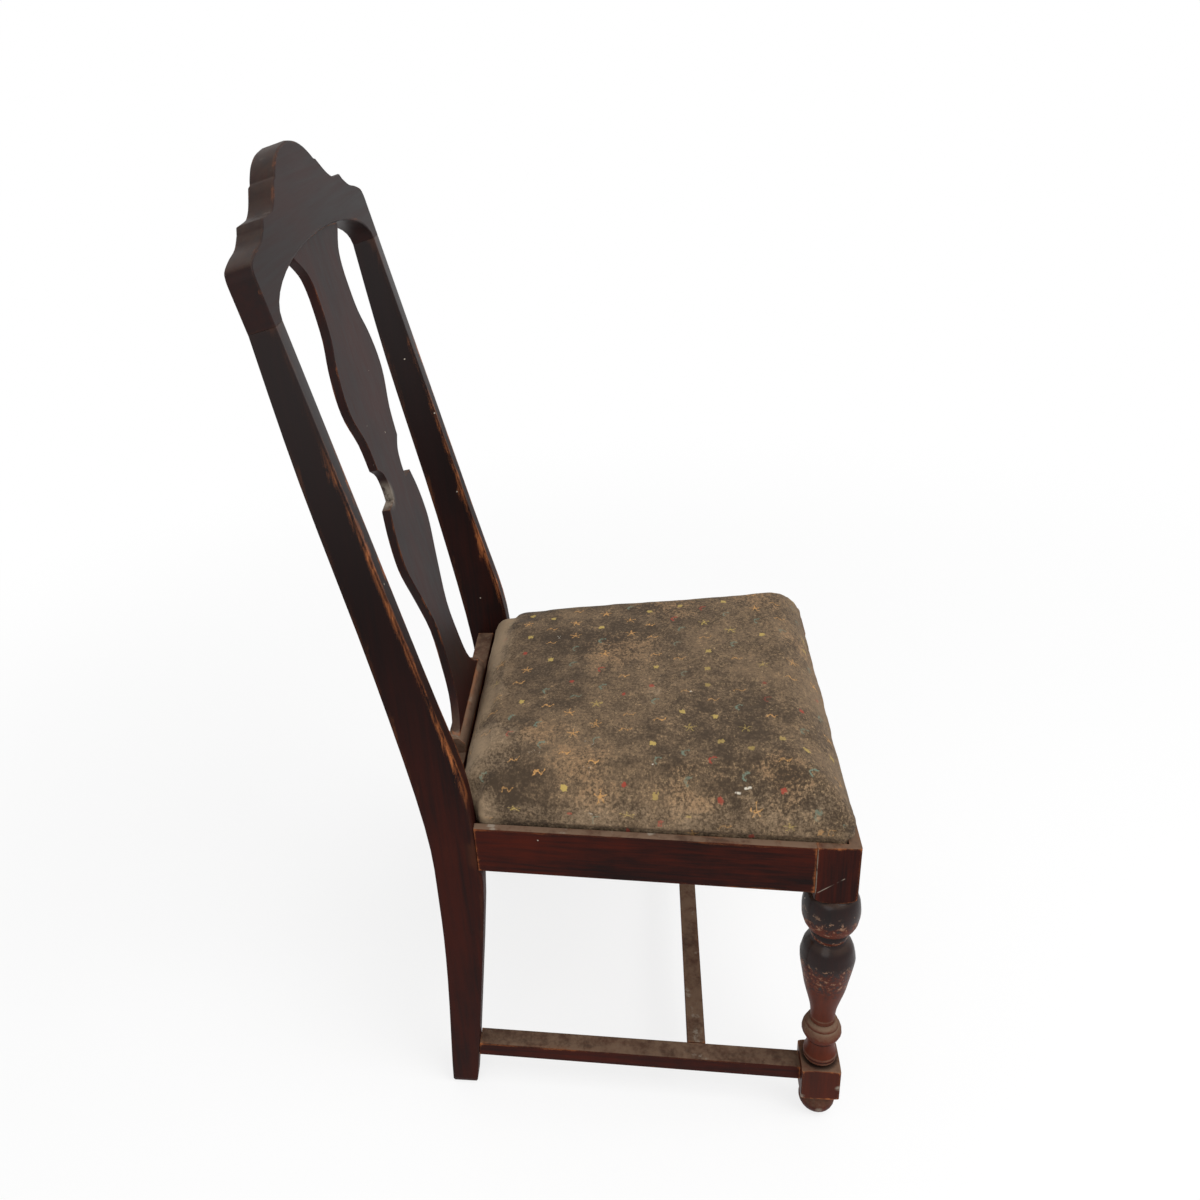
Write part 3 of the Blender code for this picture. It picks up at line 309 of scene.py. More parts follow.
# Heights on the turned leg, from the floor; a span has the length of its soft ends last
FOOT_TOP = (0.036, 0.040)
LOWER_BLOCK_TOP = (0.084, 0.088)
UPPER_BLOCK_FOOT = (0.350, 0.356)
LOWER_TURNING_TOP = (0.198, 0.222)
RING_SPAN = (0.128, 0.160, 3 * MM)
BELLY_SPAN = (0.225, 0.340, 10 * MM)
TURNING_SPAN = (0.09, 0.345, 6 * MM)
UPPER_TURNING_SPAN = (0.19, 0.35, 10 * MM)
BEAD_TOPS = (0.160, 0.1275, 0.1005, 0.0948)
BEAD_HEIGHT = 1.5 * MM
GROOVE_TOPS = (0.1235, 0.0972, 0.0912)
GROOVE_HEIGHT = 1 * MM
BEAD_SOFT = 0.8 * MM

# Scratches as start, end and width, and pale patches as centre and reach
FOOT_MARKS = (((-0.211, 0.186, 0.036), (-0.211, 0.150, 0.046), 0.9 * MM),)
BLOCK_MARKS = (
    ((-0.232, -0.242, 0.369), (-0.232, -0.268, 0.389), 0.7 * MM),
    ((-0.232, -0.2398, 0.367), (-0.232, -0.2398, 0.428), 0.9 * MM),
)
CHIP_MARKS = (
    ((-0.2325, -0.282, 0.058), 6 * MM),
    ((-0.232, -0.240, 0.041), 5 * MM),
    ((-0.230, -0.262, 0.014), 6 * MM),
)
NOTCH_MARKS = (((-0.042, 0.208, 0.757), 20 * MM),)


def stretched(axis, factor):
    """Scales that draw a pattern out along one axis."""
    return tuple(factor if letter == axis else 1 for letter in "XYZ")


def turned_tones(paint, place, height, slope):
    """Where a turned leg is bright, chipped on its bellies, dusty on rings, varnished, and dark on painted
    groove lines, which are painted shade.
    """
    grit = paint.noise(place, 170, 5, 0.72)
    low = 1 - paint.step(height, *LOWER_TURNING_TOP)
    block = paint.step(height, *UPPER_BLOCK_FOOT)
    lower_block = 1 - paint.step(height, *LOWER_BLOCK_TOP)
    under = paint.step((grit - 0.5) * 1.1 - slope, -0.04, 0.20)
    bright = under.maths("MAXIMUM", under, low) * (1 - block) * (1 - 0.5 * lower_block)
    belly = paint.window(slope, -0.30, 0.04, 0.16) * paint.window(height, *BELLY_SPAN)
    chips = belly * paint.step(grit, 0.55, 0.62)
    beads = 0.0
    for top in BEAD_TOPS:
        beads = paint.window(height, top - BEAD_HEIGHT, top, BEAD_SOFT) + beads
    groove_shade = 0.0
    # Groove lines painted dark, as painted shade.
    for top in GROOVE_TOPS:
        groove_shade = paint.window(height, top - GROOVE_HEIGHT, top, BEAD_SOFT) + groove_shade
    torus = paint.window(height, *RING_SPAN) * paint.step(slope + (grit - 0.5) * 0.9, -0.20, 0.55)
    on_foot = 1 - paint.step(height, *FOOT_TOP)
    foot = on_foot * 0.6 * paint.step(slope + (grit - 0.5) * 1.2, -0.20, 0.55)
    varnish = (1 - under) * (1 - low) * (1 - block)
    return bright, chips, torus + foot + beads * 0.8, groove_shade, varnish


def stained_wood(
    name, look, grain, red, dust, wear, gloss=0.045, polish=0.0, reach=1.0, dark_from=None, zone=None,
    front=None, turned=False, dust_and_sheen_haze=0.0, coat=None, strokes=(), patches=(),
):
    """Old stained timber with grain along an axis, rubbed edges, dust on top, scratches, pale patches and
    painted shade in its corners.

    Above dark_from the stain darkens, over a fixed run. A zone of heights, with the length of its soft
    ends, has most of the wear. A front line, given as its place and the height from which it leans back,
    keeps the wear near the front edges. A haze lays the dust colour on faces that don't look up too,
    partly as dust and partly as a painted sheen, and a coat of varnish grows to its weight between two
    heights.
    """
    paint = Paint(name)
    place = paint.place()
    _, back, height = paint.parts(place)
    slope = paint.normal()[2]
    along = paint.scaled(place, stretched(grain, 0.05))
    streak = paint.noise(along, 170, 5, 0.65)
    band = paint.noise(along, 22, 3, 0.5, 0.4)
    pore = paint.noise(along, 700, 2)
    blotch = paint.noise(place, 11, 6, 0.6)
    sliver = paint.noise(paint.scaled(place, stretched(grain, 0.14)), 62, 5, 0.66)
    grit = paint.noise(place, 60, 6, 0.7)
    powder = paint.step(grit + blotch * 0.5, 0.55, 0.90)
    edge = paint.edges(look.edge_reach * reach)
    crevice_shade = paint.edges(look.edge_reach * 1.4, inside=False)

    tone = paint.step(streak * 0.45 + band * 0.4 + blotch * 0.35, 0.42, 0.80) * red
    rubbed = paint.step(edge + (sliver - 0.5) * 1.5 + (grit - 0.5) * 0.3, 0.40, 0.50) * wear
    up = paint.step(slope, 0.45, 0.95)
    chips = 0.0
    if dark_from is not None:
        tone = tone * (1 - 0.88 * paint.step(height, dark_from, dark_from + DARKENING_RUN))
    if zone:
        rubbed = rubbed * (0.06 + 0.94 * paint.window(height, *zone))
    if front:
        line, bend = front
        above = height - bend
        lean = above.maths("MAXIMUM", above, 0.0) * math.tan(BACK_RAKE)
        behind = paint.step(back - lean, *(line + reach_back for reach_back in FRONT_WEAR))
        rubbed = rubbed * (1 - 0.85 * behind)
    if coat:
        low, high, weight = coat
        paint.feed(paint.shader.inputs["Coat Weight"], paint.step(height, low, high) * weight)
    base = paint.blend(tone, look.stain_dark, look.stain_red)
    if turned:
        bright, chips, rings, groove_shade, varnish = turned_tones(paint, place, height, slope)
        base = paint.blend(bright * (0.35 + 0.65 * streak), base, look.polished)
        # The varnish darkening is the leg's dark finish; the groove lines are painted shade.
        base = paint.blend(varnish * 0.8 + groove_shade * 0.75, base, look.stain_dark)
        rubbed = rubbed * (1 - paint.window(height, *TURNING_SPAN))
        up = up * (1 - 0.6 * paint.window(height, *UPPER_TURNING_SPAN)) + rings * 0.75
        paint.feed(paint.shader.inputs["Coat Weight"], varnish * 0.28)
    base = paint.blend(rubbed, base, paint.blend(streak * 0.5, look.worn, look.stain_red))
    base = paint.blend(chips * 0.65, base, look.chipped) if turned else base
    # The haze is partly dust and partly a painted sheen on faces that don't look up.
    settled = (up + dust_and_sheen_haze * (1 - up)) * (0.35 + 0.65 * powder) * dust
    base = paint.blend(settled, base, look.dust)
    lint = up * dust * paint.step(paint.noise(place, 38, 5, 0.65), 0.60, 0.70)
    base = paint.blend(lint * 0.6, base, look.lint)
    # Painted shade: the piece's own corners and creases are darkened towards the dark stain.
    base = paint.blend(paint.step(crevice_shade, 0.10, 0.42) * 0.85, base, look.stain_dark)
    flecks = paint.specks(place, 75, 0.075, 0.055)
    base = paint.blend(flecks * 0.65, base, look.fleck)
    marks = 0.0
    for start, end, width in strokes:
        marks = paint.stroke(place, start, end, width) * paint.step(grit, 0.38, 0.58) + marks
    for centre, size in patches:
        marks = paint.patch(place, centre, size) * paint.step(grit, 0.36, 0.56) + marks
    if strokes or patches:
        base = paint.blend(marks * 0.8, base, look.lint)
    rough = 0.44 - polish + 0.14 * streak + 0.4 * settled + 0.25 * rubbed
    relief = streak * 0.5 + pore * 0.35 + flecks * 0.6 - rubbed * 0.4 - chips * 0.5
    fixed = {"Specular IOR Level": gloss, "Coat Roughness": 0.20}
    return paint.finish(base, rough, relief, 0.22, 0.5 * MM, fixed)


def bare_wood(name, look, grain):
    """Unstained timber with grain, saw marks and grime."""
    paint = Paint(name)
    place = paint.place()
    along = paint.scaled(place, stretched(grain, 0.05))
    streak = paint.noise(along, 160, 5, 0.6)
    band = paint.noise(along, 30, 3, 0.5, 0.6)
    grime = paint.step(paint.noise(place, 14, 6, 0.65), 0.42, 0.70)
    base = paint.blend(band * 0.6 + streak * 0.4, look.bare, look.worn)
    base = paint.blend(grime * 0.65, base, look.stain_red)
    base = paint.blend(paint.edges(3 * MM) * 0.5, base, look.bare)
    rough = 0.62 + 0.2 * streak
    saw = paint.noise(place, 420, 1) * 0.3
    return paint.finish(base, rough, streak + saw, 0.3, 0.5 * MM, {"Specular IOR Level": 0.25})


def screw_steel(look):
    """Dull steel with rust freckles."""
    paint = Paint("screw_steel")
    place = paint.place()
    rust = paint.step(paint.noise(place, 900, 5, 0.7), 0.48, 0.62)
    base = paint.blend(rust, look.steel, look.stain_red)
    paint.feed(paint.shader.inputs["Metallic"], 0.9 - 0.7 * rust)
    scuff = paint.noise(place, 2500, 2)
    return paint.finish(base, 0.38 + 0.4 * rust, scuff, 0.2, 0.1 * MM)


def smoothing_group(angle):
    """A modifier's nodes that shade a merged solid smooth, apart from its crisp edges."""
    group = bpy.data.node_groups.new("crisp_edges", "GeometryNodeTree")
    group.interface.new_socket("Geometry", in_out="INPUT", socket_type="NodeSocketGeometry")
    group.interface.new_socket("Geometry", in_out="OUTPUT", socket_type="NodeSocketGeometry")
    start = group.nodes.new("NodeGroupInput")
    end = group.nodes.new("NodeGroupOutput")
    clear = group.nodes.new("GeometryNodeRemoveAttribute")
    clear.inputs["Name"].default_value = "custom_normal"
    bend = group.nodes.new("GeometryNodeInputMeshEdgeAngle")
    sharp = group.nodes.new("FunctionNodeCompare")
    sharp.operation = "GREATER_THAN"
    sharp.inputs["B"].default_value = angle
    group.links.new(bend.outputs["Unsigned Angle"], sharp.inputs["A"])
    group.links.new(start.outputs[0], clear.inputs["Geometry"])
    last = clear.outputs["Geometry"]
    rows = (("FACE", True, None), ("EDGE", True, None), ("EDGE", False, sharp.outputs[0]))
    for domain, smooth, picked in rows:
        shade = group.nodes.new("GeometryNodeSetShadeSmooth")
        shade.domain = domain
        shade.inputs["Shade Smooth"].default_value = smooth
        if picked:
            group.links.new(picked, shade.inputs["Selection"])
        group.links.new(last, shade.inputs["Geometry"])
        last = shade.outputs["Geometry"]
    group.links.new(last, end.inputs[0])
    return group


def dress_solid(name, material, group):
    """Gives a CAD solid its finish, merges its triangles and shades its curves smooth."""
    solid = NODES[name]
    solid.data.materials.clear()
    solid.data.materials.append(material)
    weld = solid.modifiers.new("merge", "WELD")
    weld.merge_threshold = WELD_DISTANCE
    plane = solid.modifiers.new("flats", "DECIMATE")
    plane.decimate_type = "DISSOLVE"
    plane.angle_limit = FLAT_ANGLE
    solid.modifiers.new("crisp_edges", "NODES").node_group = group
    weighted = solid.modifiers.new("flat_faces", "WEIGHTED_NORMAL")
    weighted.keep_sharp = True


def sided(pattern):
    return [pattern.format(side) for side in SIDES]


FRAME_FINISHES = (
    (sided("rear_post_{}"), {
        "name": "post_wood", "grain": "Z", "red": 0.55, "coat": (0.66, 0.98, 0.30), "dust": 0.5,
        "wear": 1.0, "gloss": 0.05, "reach": 2.6, "dark_from": 0.36, "zone": (0.50, 0.84, 0.05),
        "front": (0.1175, 0.462), "strokes": FOOT_MARKS,
    }),
    (sided("front_leg_{}"), {
        "name": "leg_wood", "grain": "Z", "red": 1.0, "dust": 0.9, "wear": 0.9, "polish": 0.08,
        "turned": True, "strokes": BLOCK_MARKS, "patches": CHIP_MARKS,
    }),
    (sided("side_seat_rail_{}"), {
        "name": "side_rail_wood", "grain": "Y", "red": 1.1, "dust": 1.3, "wear": 0.6,
    }),
    (("front_seat_rail", "rear_seat_rail"), {
        "name": "cross_rail_wood", "grain": "X", "red": 1.1, "dust": 1.0, "wear": 0.6,
    }),
    (("crest_rail",), {
        "name": "crest_wood", "grain": "X", "red": 0.2, "dust": 0.15, "wear": 0.5, "gloss": 0.135,
        "reach": 0.8, "zone": (1.014, 1.14, 0.014),
    }),
    (("splat",), {
        "name": "splat_wood", "grain": "Z", "red": 0.36, "dust": 0.4, "wear": 0.6, "gloss": 0.125,
        "reach": 0.5, "patches": NOTCH_MARKS,
    }),
    (("splat_shoe",), {
        "name": "shoe_wood", "grain": "X", "red": 0.6, "dust": 1.0, "wear": 0.9, "dust_and_sheen_haze": 0.75,
    }),
    (sided("side_stretcher_{}"), {
        "name": "side_stretcher_wood", "grain": "Y", "red": 1.0, "dust": 1.0, "wear": 0.7,
    }),
    (("cross_stretcher",), {
        "name": "cross_stretcher_wood", "grain": "X", "red": 1.0, "dust": 0.95, "wear": 0.7,
    }),
)


class CHAIR_OT_frame_wood(bpy.types.Operator):
    """Finish the chair's stained frame"""

    bl_idname = "chair.frame_wood"
    bl_label = "Stained frame"

    def execute(self, context):
        look = context.scene.chair_wood
        group = smoothing_group(look.smooth_angle)
        for solids, finish in FRAME_FINISHES:
            material = stained_wood(look=look, **finish)
            for solid in solids:
                dress_solid(solid, material, group)
        return {"FINISHED"}


class CHAIR_OT_inner_wood(bpy.types.Operator):
    """Finish the seat boards, corner blocks and screws"""

    bl_idname = "chair.inner_wood"
    bl_label = "Boards, blocks and screws"

    def execute(self, context):
        look = context.scene.chair_wood
        group = smoothing_group(look.smooth_angle)
        across = bare_wood("board_wood_across", look, "X")
        back = bare_wood("board_wood_back", look, "Y")
        for name in ("seat_board_front", "seat_board_rear"):
            dress_solid(name, across, group)
        for name in sided("seat_board_{}"):
            dress_solid(name, back, group)
        for end in ("front", "rear"):
            for name in sided(f"corner_block_{end}_{{}}"):
                dress_solid(name, across, group)
        steel = screw_steel(look)
        for name in NODES:
            if name.startswith("block_screw"):
                dress_solid(name, steel, group)
        return {"FINISHED"}


# Seat

WEBBING_PITCH = 2.4 * MM
WEBBING_STRIPE = 17 * MM
BURLAP_PITCH = 3.2 * MM
BURLAP_EDGE = 0.4 * MM
BURLAP_ANGLE = math.radians(0.5)
SELVEDGE = 0.5 * MM
STRAP_CUTS = 40
STRAP_EDGE = 0.1
SHORT_EDGE = 1 * MM
LEVEL = 0.1 * MM


def jute_cloth(name, look, pitch, stripe):
    """A coarse plain weave; a stripe is the distance between the dark warp lines, or 0."""
    paint = Paint(name)
    x, y, _ = paint.parts(paint.node("ShaderNodeUVMap", {"uv_map": "lay"}))
    turn = math.tau / pitch
    weave = (x * turn).sine() * (y * turn).sine()
    fibre = paint.noise(paint.place(), 900, 4, 0.7)
    dirt = paint.step(paint.noise(paint.place(), 16, 5, 0.6), 0.40, 0.72)
    base = paint.blend(0.5 + 0.5 * weave, paint.blend(fibre, look.rubbed, look.jute), look.jute)
    base = paint.blend(dirt * 0.6, base, look.shade)
    if stripe:
        line = abs(abs(x) - stripe) < pitch
        base = paint.blend(line * 0.7, base, look.red)
    return paint.finish(base, 0.88, weave + fibre * 0.5, 0.6, 0.6 * MM, {"Specular IOR Level": 0.15})


def loose_object(name, bm):
    mesh = bpy.data.meshes.new(name)
    bm.to_mesh(mesh)
    bm.free()
    thing = bpy.data.objects.new(name, mesh)
    bpy.context.scene.collection.objects.link(thing)
    return thing


def plain_object(name, bm, material, body):
    """Makes a finished piece of a mesh that is already in its place."""
    piece = loose_object(name, bm)
    piece.data.materials.append(material)
    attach(piece, body)
    return piece


def lay_flat(bm, origin, turned=False):
    """Writes a UV map in metres from the piece's place, with u across its width."""
    layer = bm.loops.layers.uv.new("lay")
    for face in bm.faces:
        for loop in face.loops:
            u, v = loop.vert.co.x - origin.x, loop.vert.co.y - origin.y
            loop[layer].uv = (v, u) if turned else (u, v)


def round_edges(bm, edges, offset):
    bmesh.ops.bevel(
        bm, geom=edges, offset=offset, offset_type="OFFSET", segments=2, profile=0.5, affect="EDGES",
        clamp_overlap=True, material=-1,
    )


def strap(name, solid, material, turned):
    """A webbing strap in the place of its solid, with rounded selvedges."""
    low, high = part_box(solid)
    middle = (low + high) / 2
    size = high - low
    bm = bmesh.new()
    bmesh.ops.create_cube(bm, size=1, matrix=Matrix.Translation(middle) @ Matrix.Diagonal((*size, 1)))
    along = 0 if turned else 1
    ends = [e for e in bm.edges if abs(e.verts[0].co[along] - e.verts[1].co[along]) > STRAP_EDGE]
    bmesh.ops.subdivide_edges(bm, edges=ends, cuts=STRAP_CUTS, use_grid_fill=True)
    runs = [e for e in bm.edges if abs(e.verts[0].co[along] - e.verts[1].co[along]) > SHORT_EDGE]
    round_edges(bm, runs, SELVEDGE)
    lay_flat(bm, middle, turned)
    piece = plain_object(name, bm, material, SEAT_BODY)
    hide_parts(solid)
    return piece


class CHAIR_OT_webbing(bpy.types.Operator):
    """Make the six webbing straps"""

    bl_idname = "chair.webbing"
    bl_label = "Webbing"

    def execute(self, context):
        look = context.scene.chair_seat
        material = jute_cloth("webbing_jute", look, WEBBING_PITCH, WEBBING_STRIPE)
        for i in (1, 2, 3):
            strap(f"strap_lengthwise_{i}", f"webbing_lengthwise_{i}", material, False)
            strap(f"strap_crosswise_{i}", f"webbing_crosswise_{i}", material, True)
        return {"FINISHED"}


class CHAIR_OT_burlap(bpy.types.Operator):
    """Make the burlap over the webbing"""

    bl_idname = "chair.burlap"
    bl_label = "Burlap"

    def execute(self, context):
        look = context.scene.chair_seat
        solid = NODES["seat_burlap"]
        bm = bmesh.new()
        bm.from_mesh(solid.data)
        bmesh.ops.remove_doubles(bm, verts=bm.verts, dist=WELD_DISTANCE)
        bmesh.ops.dissolve_limit(bm, angle_limit=BURLAP_ANGLE, verts=bm.verts, edges=bm.edges)
        rims = [e for e in bm.edges if abs(e.verts[0].co.z - e.verts[1].co.z) < LEVEL]
        round_edges(bm, rims, BURLAP_EDGE)
        lay_flat(bm, SEAT_MIDDLE)
        cut = max(f.calc_area() for f in bm.faces)
        material = jute_cloth("burlap_jute", look, BURLAP_PITCH, 0)
        piece = plain_object("burlap_sheet", bm, material, SEAT_BODY)
        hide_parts("seat_burlap")
        return {"FINISHED"}


# Places on the seat, from above: patches as x, y and reach in mm, drops as two ends and a width in mm
RUBBED_PATCHES = (
    (-0.215, -0.016, 34), (-0.215, -0.112, 46), (-0.165, 0.008, 46), (0.047, -0.038, 70),
    (0.076, -0.259, 50), (0.179, -0.221, 60), (-0.120, 0.060, 40), (0.150, -0.100, 60),
    (-0.205, -0.210, 56),
)
PALE_PATCHES = (
    (-0.049, -0.092, 24), (-0.129, 0.095, 60), (0.088, 0.137, 60), (-0.020, 0.130, 44),
    (0.160, 0.125, 46),
)
PAINT_DROPS = (
    (-0.2085, -0.163, -0.2078, -0.159, 1.7), (-0.2035, -0.174, -0.2042, -0.169, 1.8),
    (-0.051, -0.121, -0.051, -0.120, 1.4), (-0.176, -0.076, -0.176, -0.075, 1.2),
)
FIGURE_SEED = 3.7
FIGURE_SHIFT = 9
FIGURE_BEND = 8
TEAR = 0.11
# Painted light: the cover is made paler over its side and rear rolls, between these bounds.
SIDE_PAINTED_LIGHT = (SEAT_HIGH.x - 38 * MM, SEAT_HIGH.x + 8 * MM)
REAR_PAINTED_LIGHT = (SEAT_HIGH.y - 60 * MM, SEAT_HIGH.y - 8 * MM)


def figures(paint, look, lay, fray):
    """Small scattered figures in staggered rows, drawn in mm: their cover, and the colour of each."""
    u, v, _ = paint.parts(lay)
    back = v / look.figure_depth
    row = back.maths("FLOOR", back)
    across = u / look.figure_width + row.maths("PINGPONG", row, 1.0) * 0.5
    column = across.maths("FLOOR", across)
    cell = paint.joined(column, row, FIGURE_SEED)
    chance = paint.node("ShaderNodeTexWhiteNoise", {"noise_dimensions": "3D"}, {"Vector": cell}, "Value")
    pick, shift, slide = paint.parts(chance.sibling("Color"))
    bend_x, bend_y, _ = paint.parts(fray)
    x = (across - column - 0.5) * (look.figure_width / MM)
    x = x + (shift - 0.5) * FIGURE_SHIFT + (bend_x - 0.5) * FIGURE_BEND
    y = (back - row - 0.5) * (look.figure_depth / MM)
    y = y + (slide - 0.5) * FIGURE_SHIFT + (bend_y - 0.5) * FIGURE_BEND
    squared = x * x + y * y
    far = squared.maths("SQRT", squared)
    reach_x = abs(x)
    reach_y = abs(y)
    square = 1 - paint.step(reach_x.maths("MAXIMUM", reach_x, reach_y), 2.2, 4.2)
    spot = 1 - paint.step(far, 1.6, 4.2)
    hook = (1 - paint.step(abs(far - 4.8), 0.5, 1.5)) * paint.step(y + x * 0.6, -2.0, 0.5)
    sway = abs(x - 2.0 * (y * 0.65).sine())
    twig = (1 - paint.step(sway, 0.5, 1.4)) * (1 - paint.step(reach_y, 6.0, 8.0))
    angle = y.maths("ARCTAN2", y, x)
    arms = abs((angle * 2.5).sine())
    sprig = (1 - paint.step(arms * far, 0.9, 2.0)) * (1 - paint.step(far, 6.5, 8.8))
    cover = 0.0
    for low, high, shape in (
        (0.08, 0.24, square), (0.24, 0.34, spot), (0.34, 0.54, hook), (0.54, 0.74, twig),
        (0.74, 1.0, sprig),
    ):
        cover = shape * (chance > low) * (chance < high) + cover
    stops = ((0.0, look.yellow), (0.22, look.red), (0.38, look.teal), (0.54, look.tan), (0.86, look.yellow))
    return cover, paint.node("ShaderNodeValToRGB", {"stops": stops}, {0: pick})


def patched(paint, place, patches):
    """Where any of some patches on the seat lies."""
    found = 0.0
    for x, y, reach in patches:
        found = paint.patch(place, (x, y, 0), reach * MM) + found
    return found


def figured_cloth(look):
    """Worn furnishing cloth: small figures in rows, rubbed tan patches, loose threads, dust, stains and
    painted light that makes the side and rear rolls paler.
    """
    paint = Paint("figured_cloth")
    place = paint.place()
    lay = paint.node("ShaderNodeUVMap", {"uv_map": "lay"})
    u, v, _ = paint.parts(lay)
    flat = paint.joined(u, v, 0.0)
    fray = paint.noise(flat, 330, 3, 0.6)
    cloud = paint.noise(place, 9, 5, 0.6)
    mottle = paint.noise(place, 48, 8, 0.72)
    speckle = paint.noise(place, 290, 6, 0.78)

    ragged = paint.noise(flat, 26, 5, 0.62).sibling("Color")
    offset = paint.scaled(paint.vector_maths("SUBTRACT", ragged, (0.5, 0.5, 0.5)), (TEAR, TEAR, 0))
    torn = paint.vector_maths("ADD", flat, offset)
    rubbed_here = patched(paint, torn, RUBBED_PATCHES)
    pale_here = patched(paint, torn, PALE_PATCHES)

    soil = paint.step((cloud - 0.5) * 0.7 + (speckle - 0.5) * 0.8 + (mottle - 0.5) * 0.45, -0.16, 0.13)
    base = paint.blend(soil, look.shade, look.ground)
    thin = (mottle - 0.5) * 0.65 + (cloud - 0.5) * 0.35 + (speckle - 0.5) * 1.3 + rubbed_here * 0.17
    bald = paint.step(thin, 0.08, 0.32)
    base = paint.blend(bald * 0.55, base, look.rubbed)
    squiggle = paint.noise(place, 150, 2, 0.5, 1.4)
    threads = paint.step(mottle + (0.1 - v) * 0.4 + (cloud - 0.5) * 0.6, 0.46, 0.60)
    loose = (1 - paint.step(abs(squiggle - 0.5), 0.004, 0.016)) * threads * paint.step(speckle, 0.42, 0.58)
    base = paint.blend(loose * 0.75, base, look.frayed)
    cover, thread = figures(paint, look, lay, fray.sibling("Color"))
    spared = paint.step(paint.noise(flat, 13, 3, 0.5) + v * 0.5, 0.34, 0.52)
    sewn = paint.step(cover + (speckle - 0.5) * 1.3, 0.40, 0.75)
    base = paint.blend(sewn * (0.5 + 0.45 * spared), base, thread)
    # Painted light on the side and rear rolls, added to dust from noise and pale patches.
    side = paint.step(abs(u), *SIDE_PAINTED_LIGHT)
    rear = paint.step(v, *REAR_PAINTED_LIGHT)
    grey = (paint.noise(place, 19, 6, 0.68) - 0.5) + (speckle - 0.5) * 1.1 + (mottle - 0.5) * 0.4
    dust_and_painted_light = paint.step(grey + side * 0.30 + rear * 0.52 + pale_here * 0.32, 0.13, 0.78) * 0.75
    base = paint.blend(dust_and_painted_light, base, look.pale)
    drops = paint.specks(torn, 130, 0.10, 0.02)
    for x0, y0, x1, y1, width in PAINT_DROPS:
        drop = paint.stroke(flat, (x0, y0, 0), (x1, y1, 0), width * MM)
        drops = drop * paint.step(fray, 0.40, 0.52) + drops
    base = paint.blend(drops.maths("MINIMUM", drops, 0.85), base, look.fleck)
    turn = math.tau / look.thread
    weave = (u * turn).sine() * (v * turn).sine()
    height = weave * 0.35 + speckle * 1.0 + mottle * 0.8 + sewn * 0.4
    rough = 0.86 + 0.1 * bald
    fixed = {"Specular IOR Level": 0.12, "Sheen Weight": 0.03, "Sheen Roughness": 0.6}
    return paint.finish(base, rough, height, 0.35, 0.6 * MM, fixed)


# Padding: a rise is a height above the seat's underside
RAIL_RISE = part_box("side_seat_rail_left")[1].z - SEAT_LOW.z + 0.8 * MM
COVER_MIDDLE_RISE = 24 * MM
TACK_RISE = 18 * MM
CLOTH_QUALITY = 5
EVEN_ROUNDS = 8
INSET = 1.5 * MM
INSET_RISE = 40 * MM
LOOSE_RISE = (20 * MM, 36 * MM)
DENT_SCALE = 14
DENT_DEPTH = 1.3 * MM
TIGHT = 0.4 * MM
UNDERSIDE_RISE = 3 * MM
SIDE_SWELL = 3.5 * MM
FRONT_SWELL = 3.5 * MM
CORNER_SWELL = 8 * MM
CORNER_FILL = 15 * MM
CORNER_TILT = (0.3, 0.8)
SWELL_START = 7 * MM
SWELL_FADE = (34 * MM, 84 * MM)
POST_CLEAR = (0.02, 0.09)
SIDE_RISE = 46 * MM
ROLL = 32 * MM
LEAST_TILT = 0.05
HOLLOW_DROP = 6 * MM
LID_GAP = 0.6 * MM
LID_SHARE = 0.975
FEWEST_FACES = 2000


def cover_shell(outer):
    """Half of the cover's solid: its outside, or its inside with the opening under the boards."""
    bm = bmesh.new()
    bm.from_mesh(NODES["seat_cover"].data)
    bmesh.ops.remove_doubles(bm, verts=bm.verts, dist=WELD_DISTANCE)
    bm.normal_update()
    centre = Vector((0, SEAT_MIDDLE.y, SEAT_LOW.z + COVER_MIDDLE_RISE))
    wrong = [f for f in bm.faces if ((f.calc_center_median() - centre).dot(f.normal) > 0) != outer]
    bmesh.ops.delete(bm, geom=wrong, context="FACES")
    return bm


def close_under(bm, drop):
    """Closes a shell's opening, after taking its rim down by a drop."""
    rim = [e for e in bm.edges if e.is_boundary]
    if drop:
        grown = bmesh.ops.extrude_edge_only(bm, edges=rim)["geom"]
        moved = [v for v in grown if isinstance(v, bmesh.types.BMVert)]
        bmesh.ops.translate(bm, verts=moved, vec=(0, 0, -drop))
    bmesh.ops.holes_fill(bm, edges=[e for e in bm.edges if e.is_boundary])
    bmesh.ops.recalc_face_normals(bm, faces=bm.faces)


def apply_modifiers(thing):
    """Replaces a thing's mesh by what its modifiers make of it."""
    bpy.context.view_layer.update()
    graph = bpy.context.evaluated_depsgraph_get()
    made = bpy.data.meshes.new_from_object(thing.evaluated_get(graph))
    thing.modifiers.clear()
    thing.data = made


def evened(mesh, values, rounds):
    """One value for each vertex, averaged with its neighbours' a number of times."""
    pairs = [tuple(edge.vertices) for edge in mesh.edges]
    for _ in range(rounds):
        sums = list(values)
        counts = [1] * len(values)
        for one, other in pairs:
            sums[one] += values[other]
            sums[other] += values[one]
            counts[one] += 1
            counts[other] += 1
        values = [total / count for total, count in zip(sums, counts)]
    return values


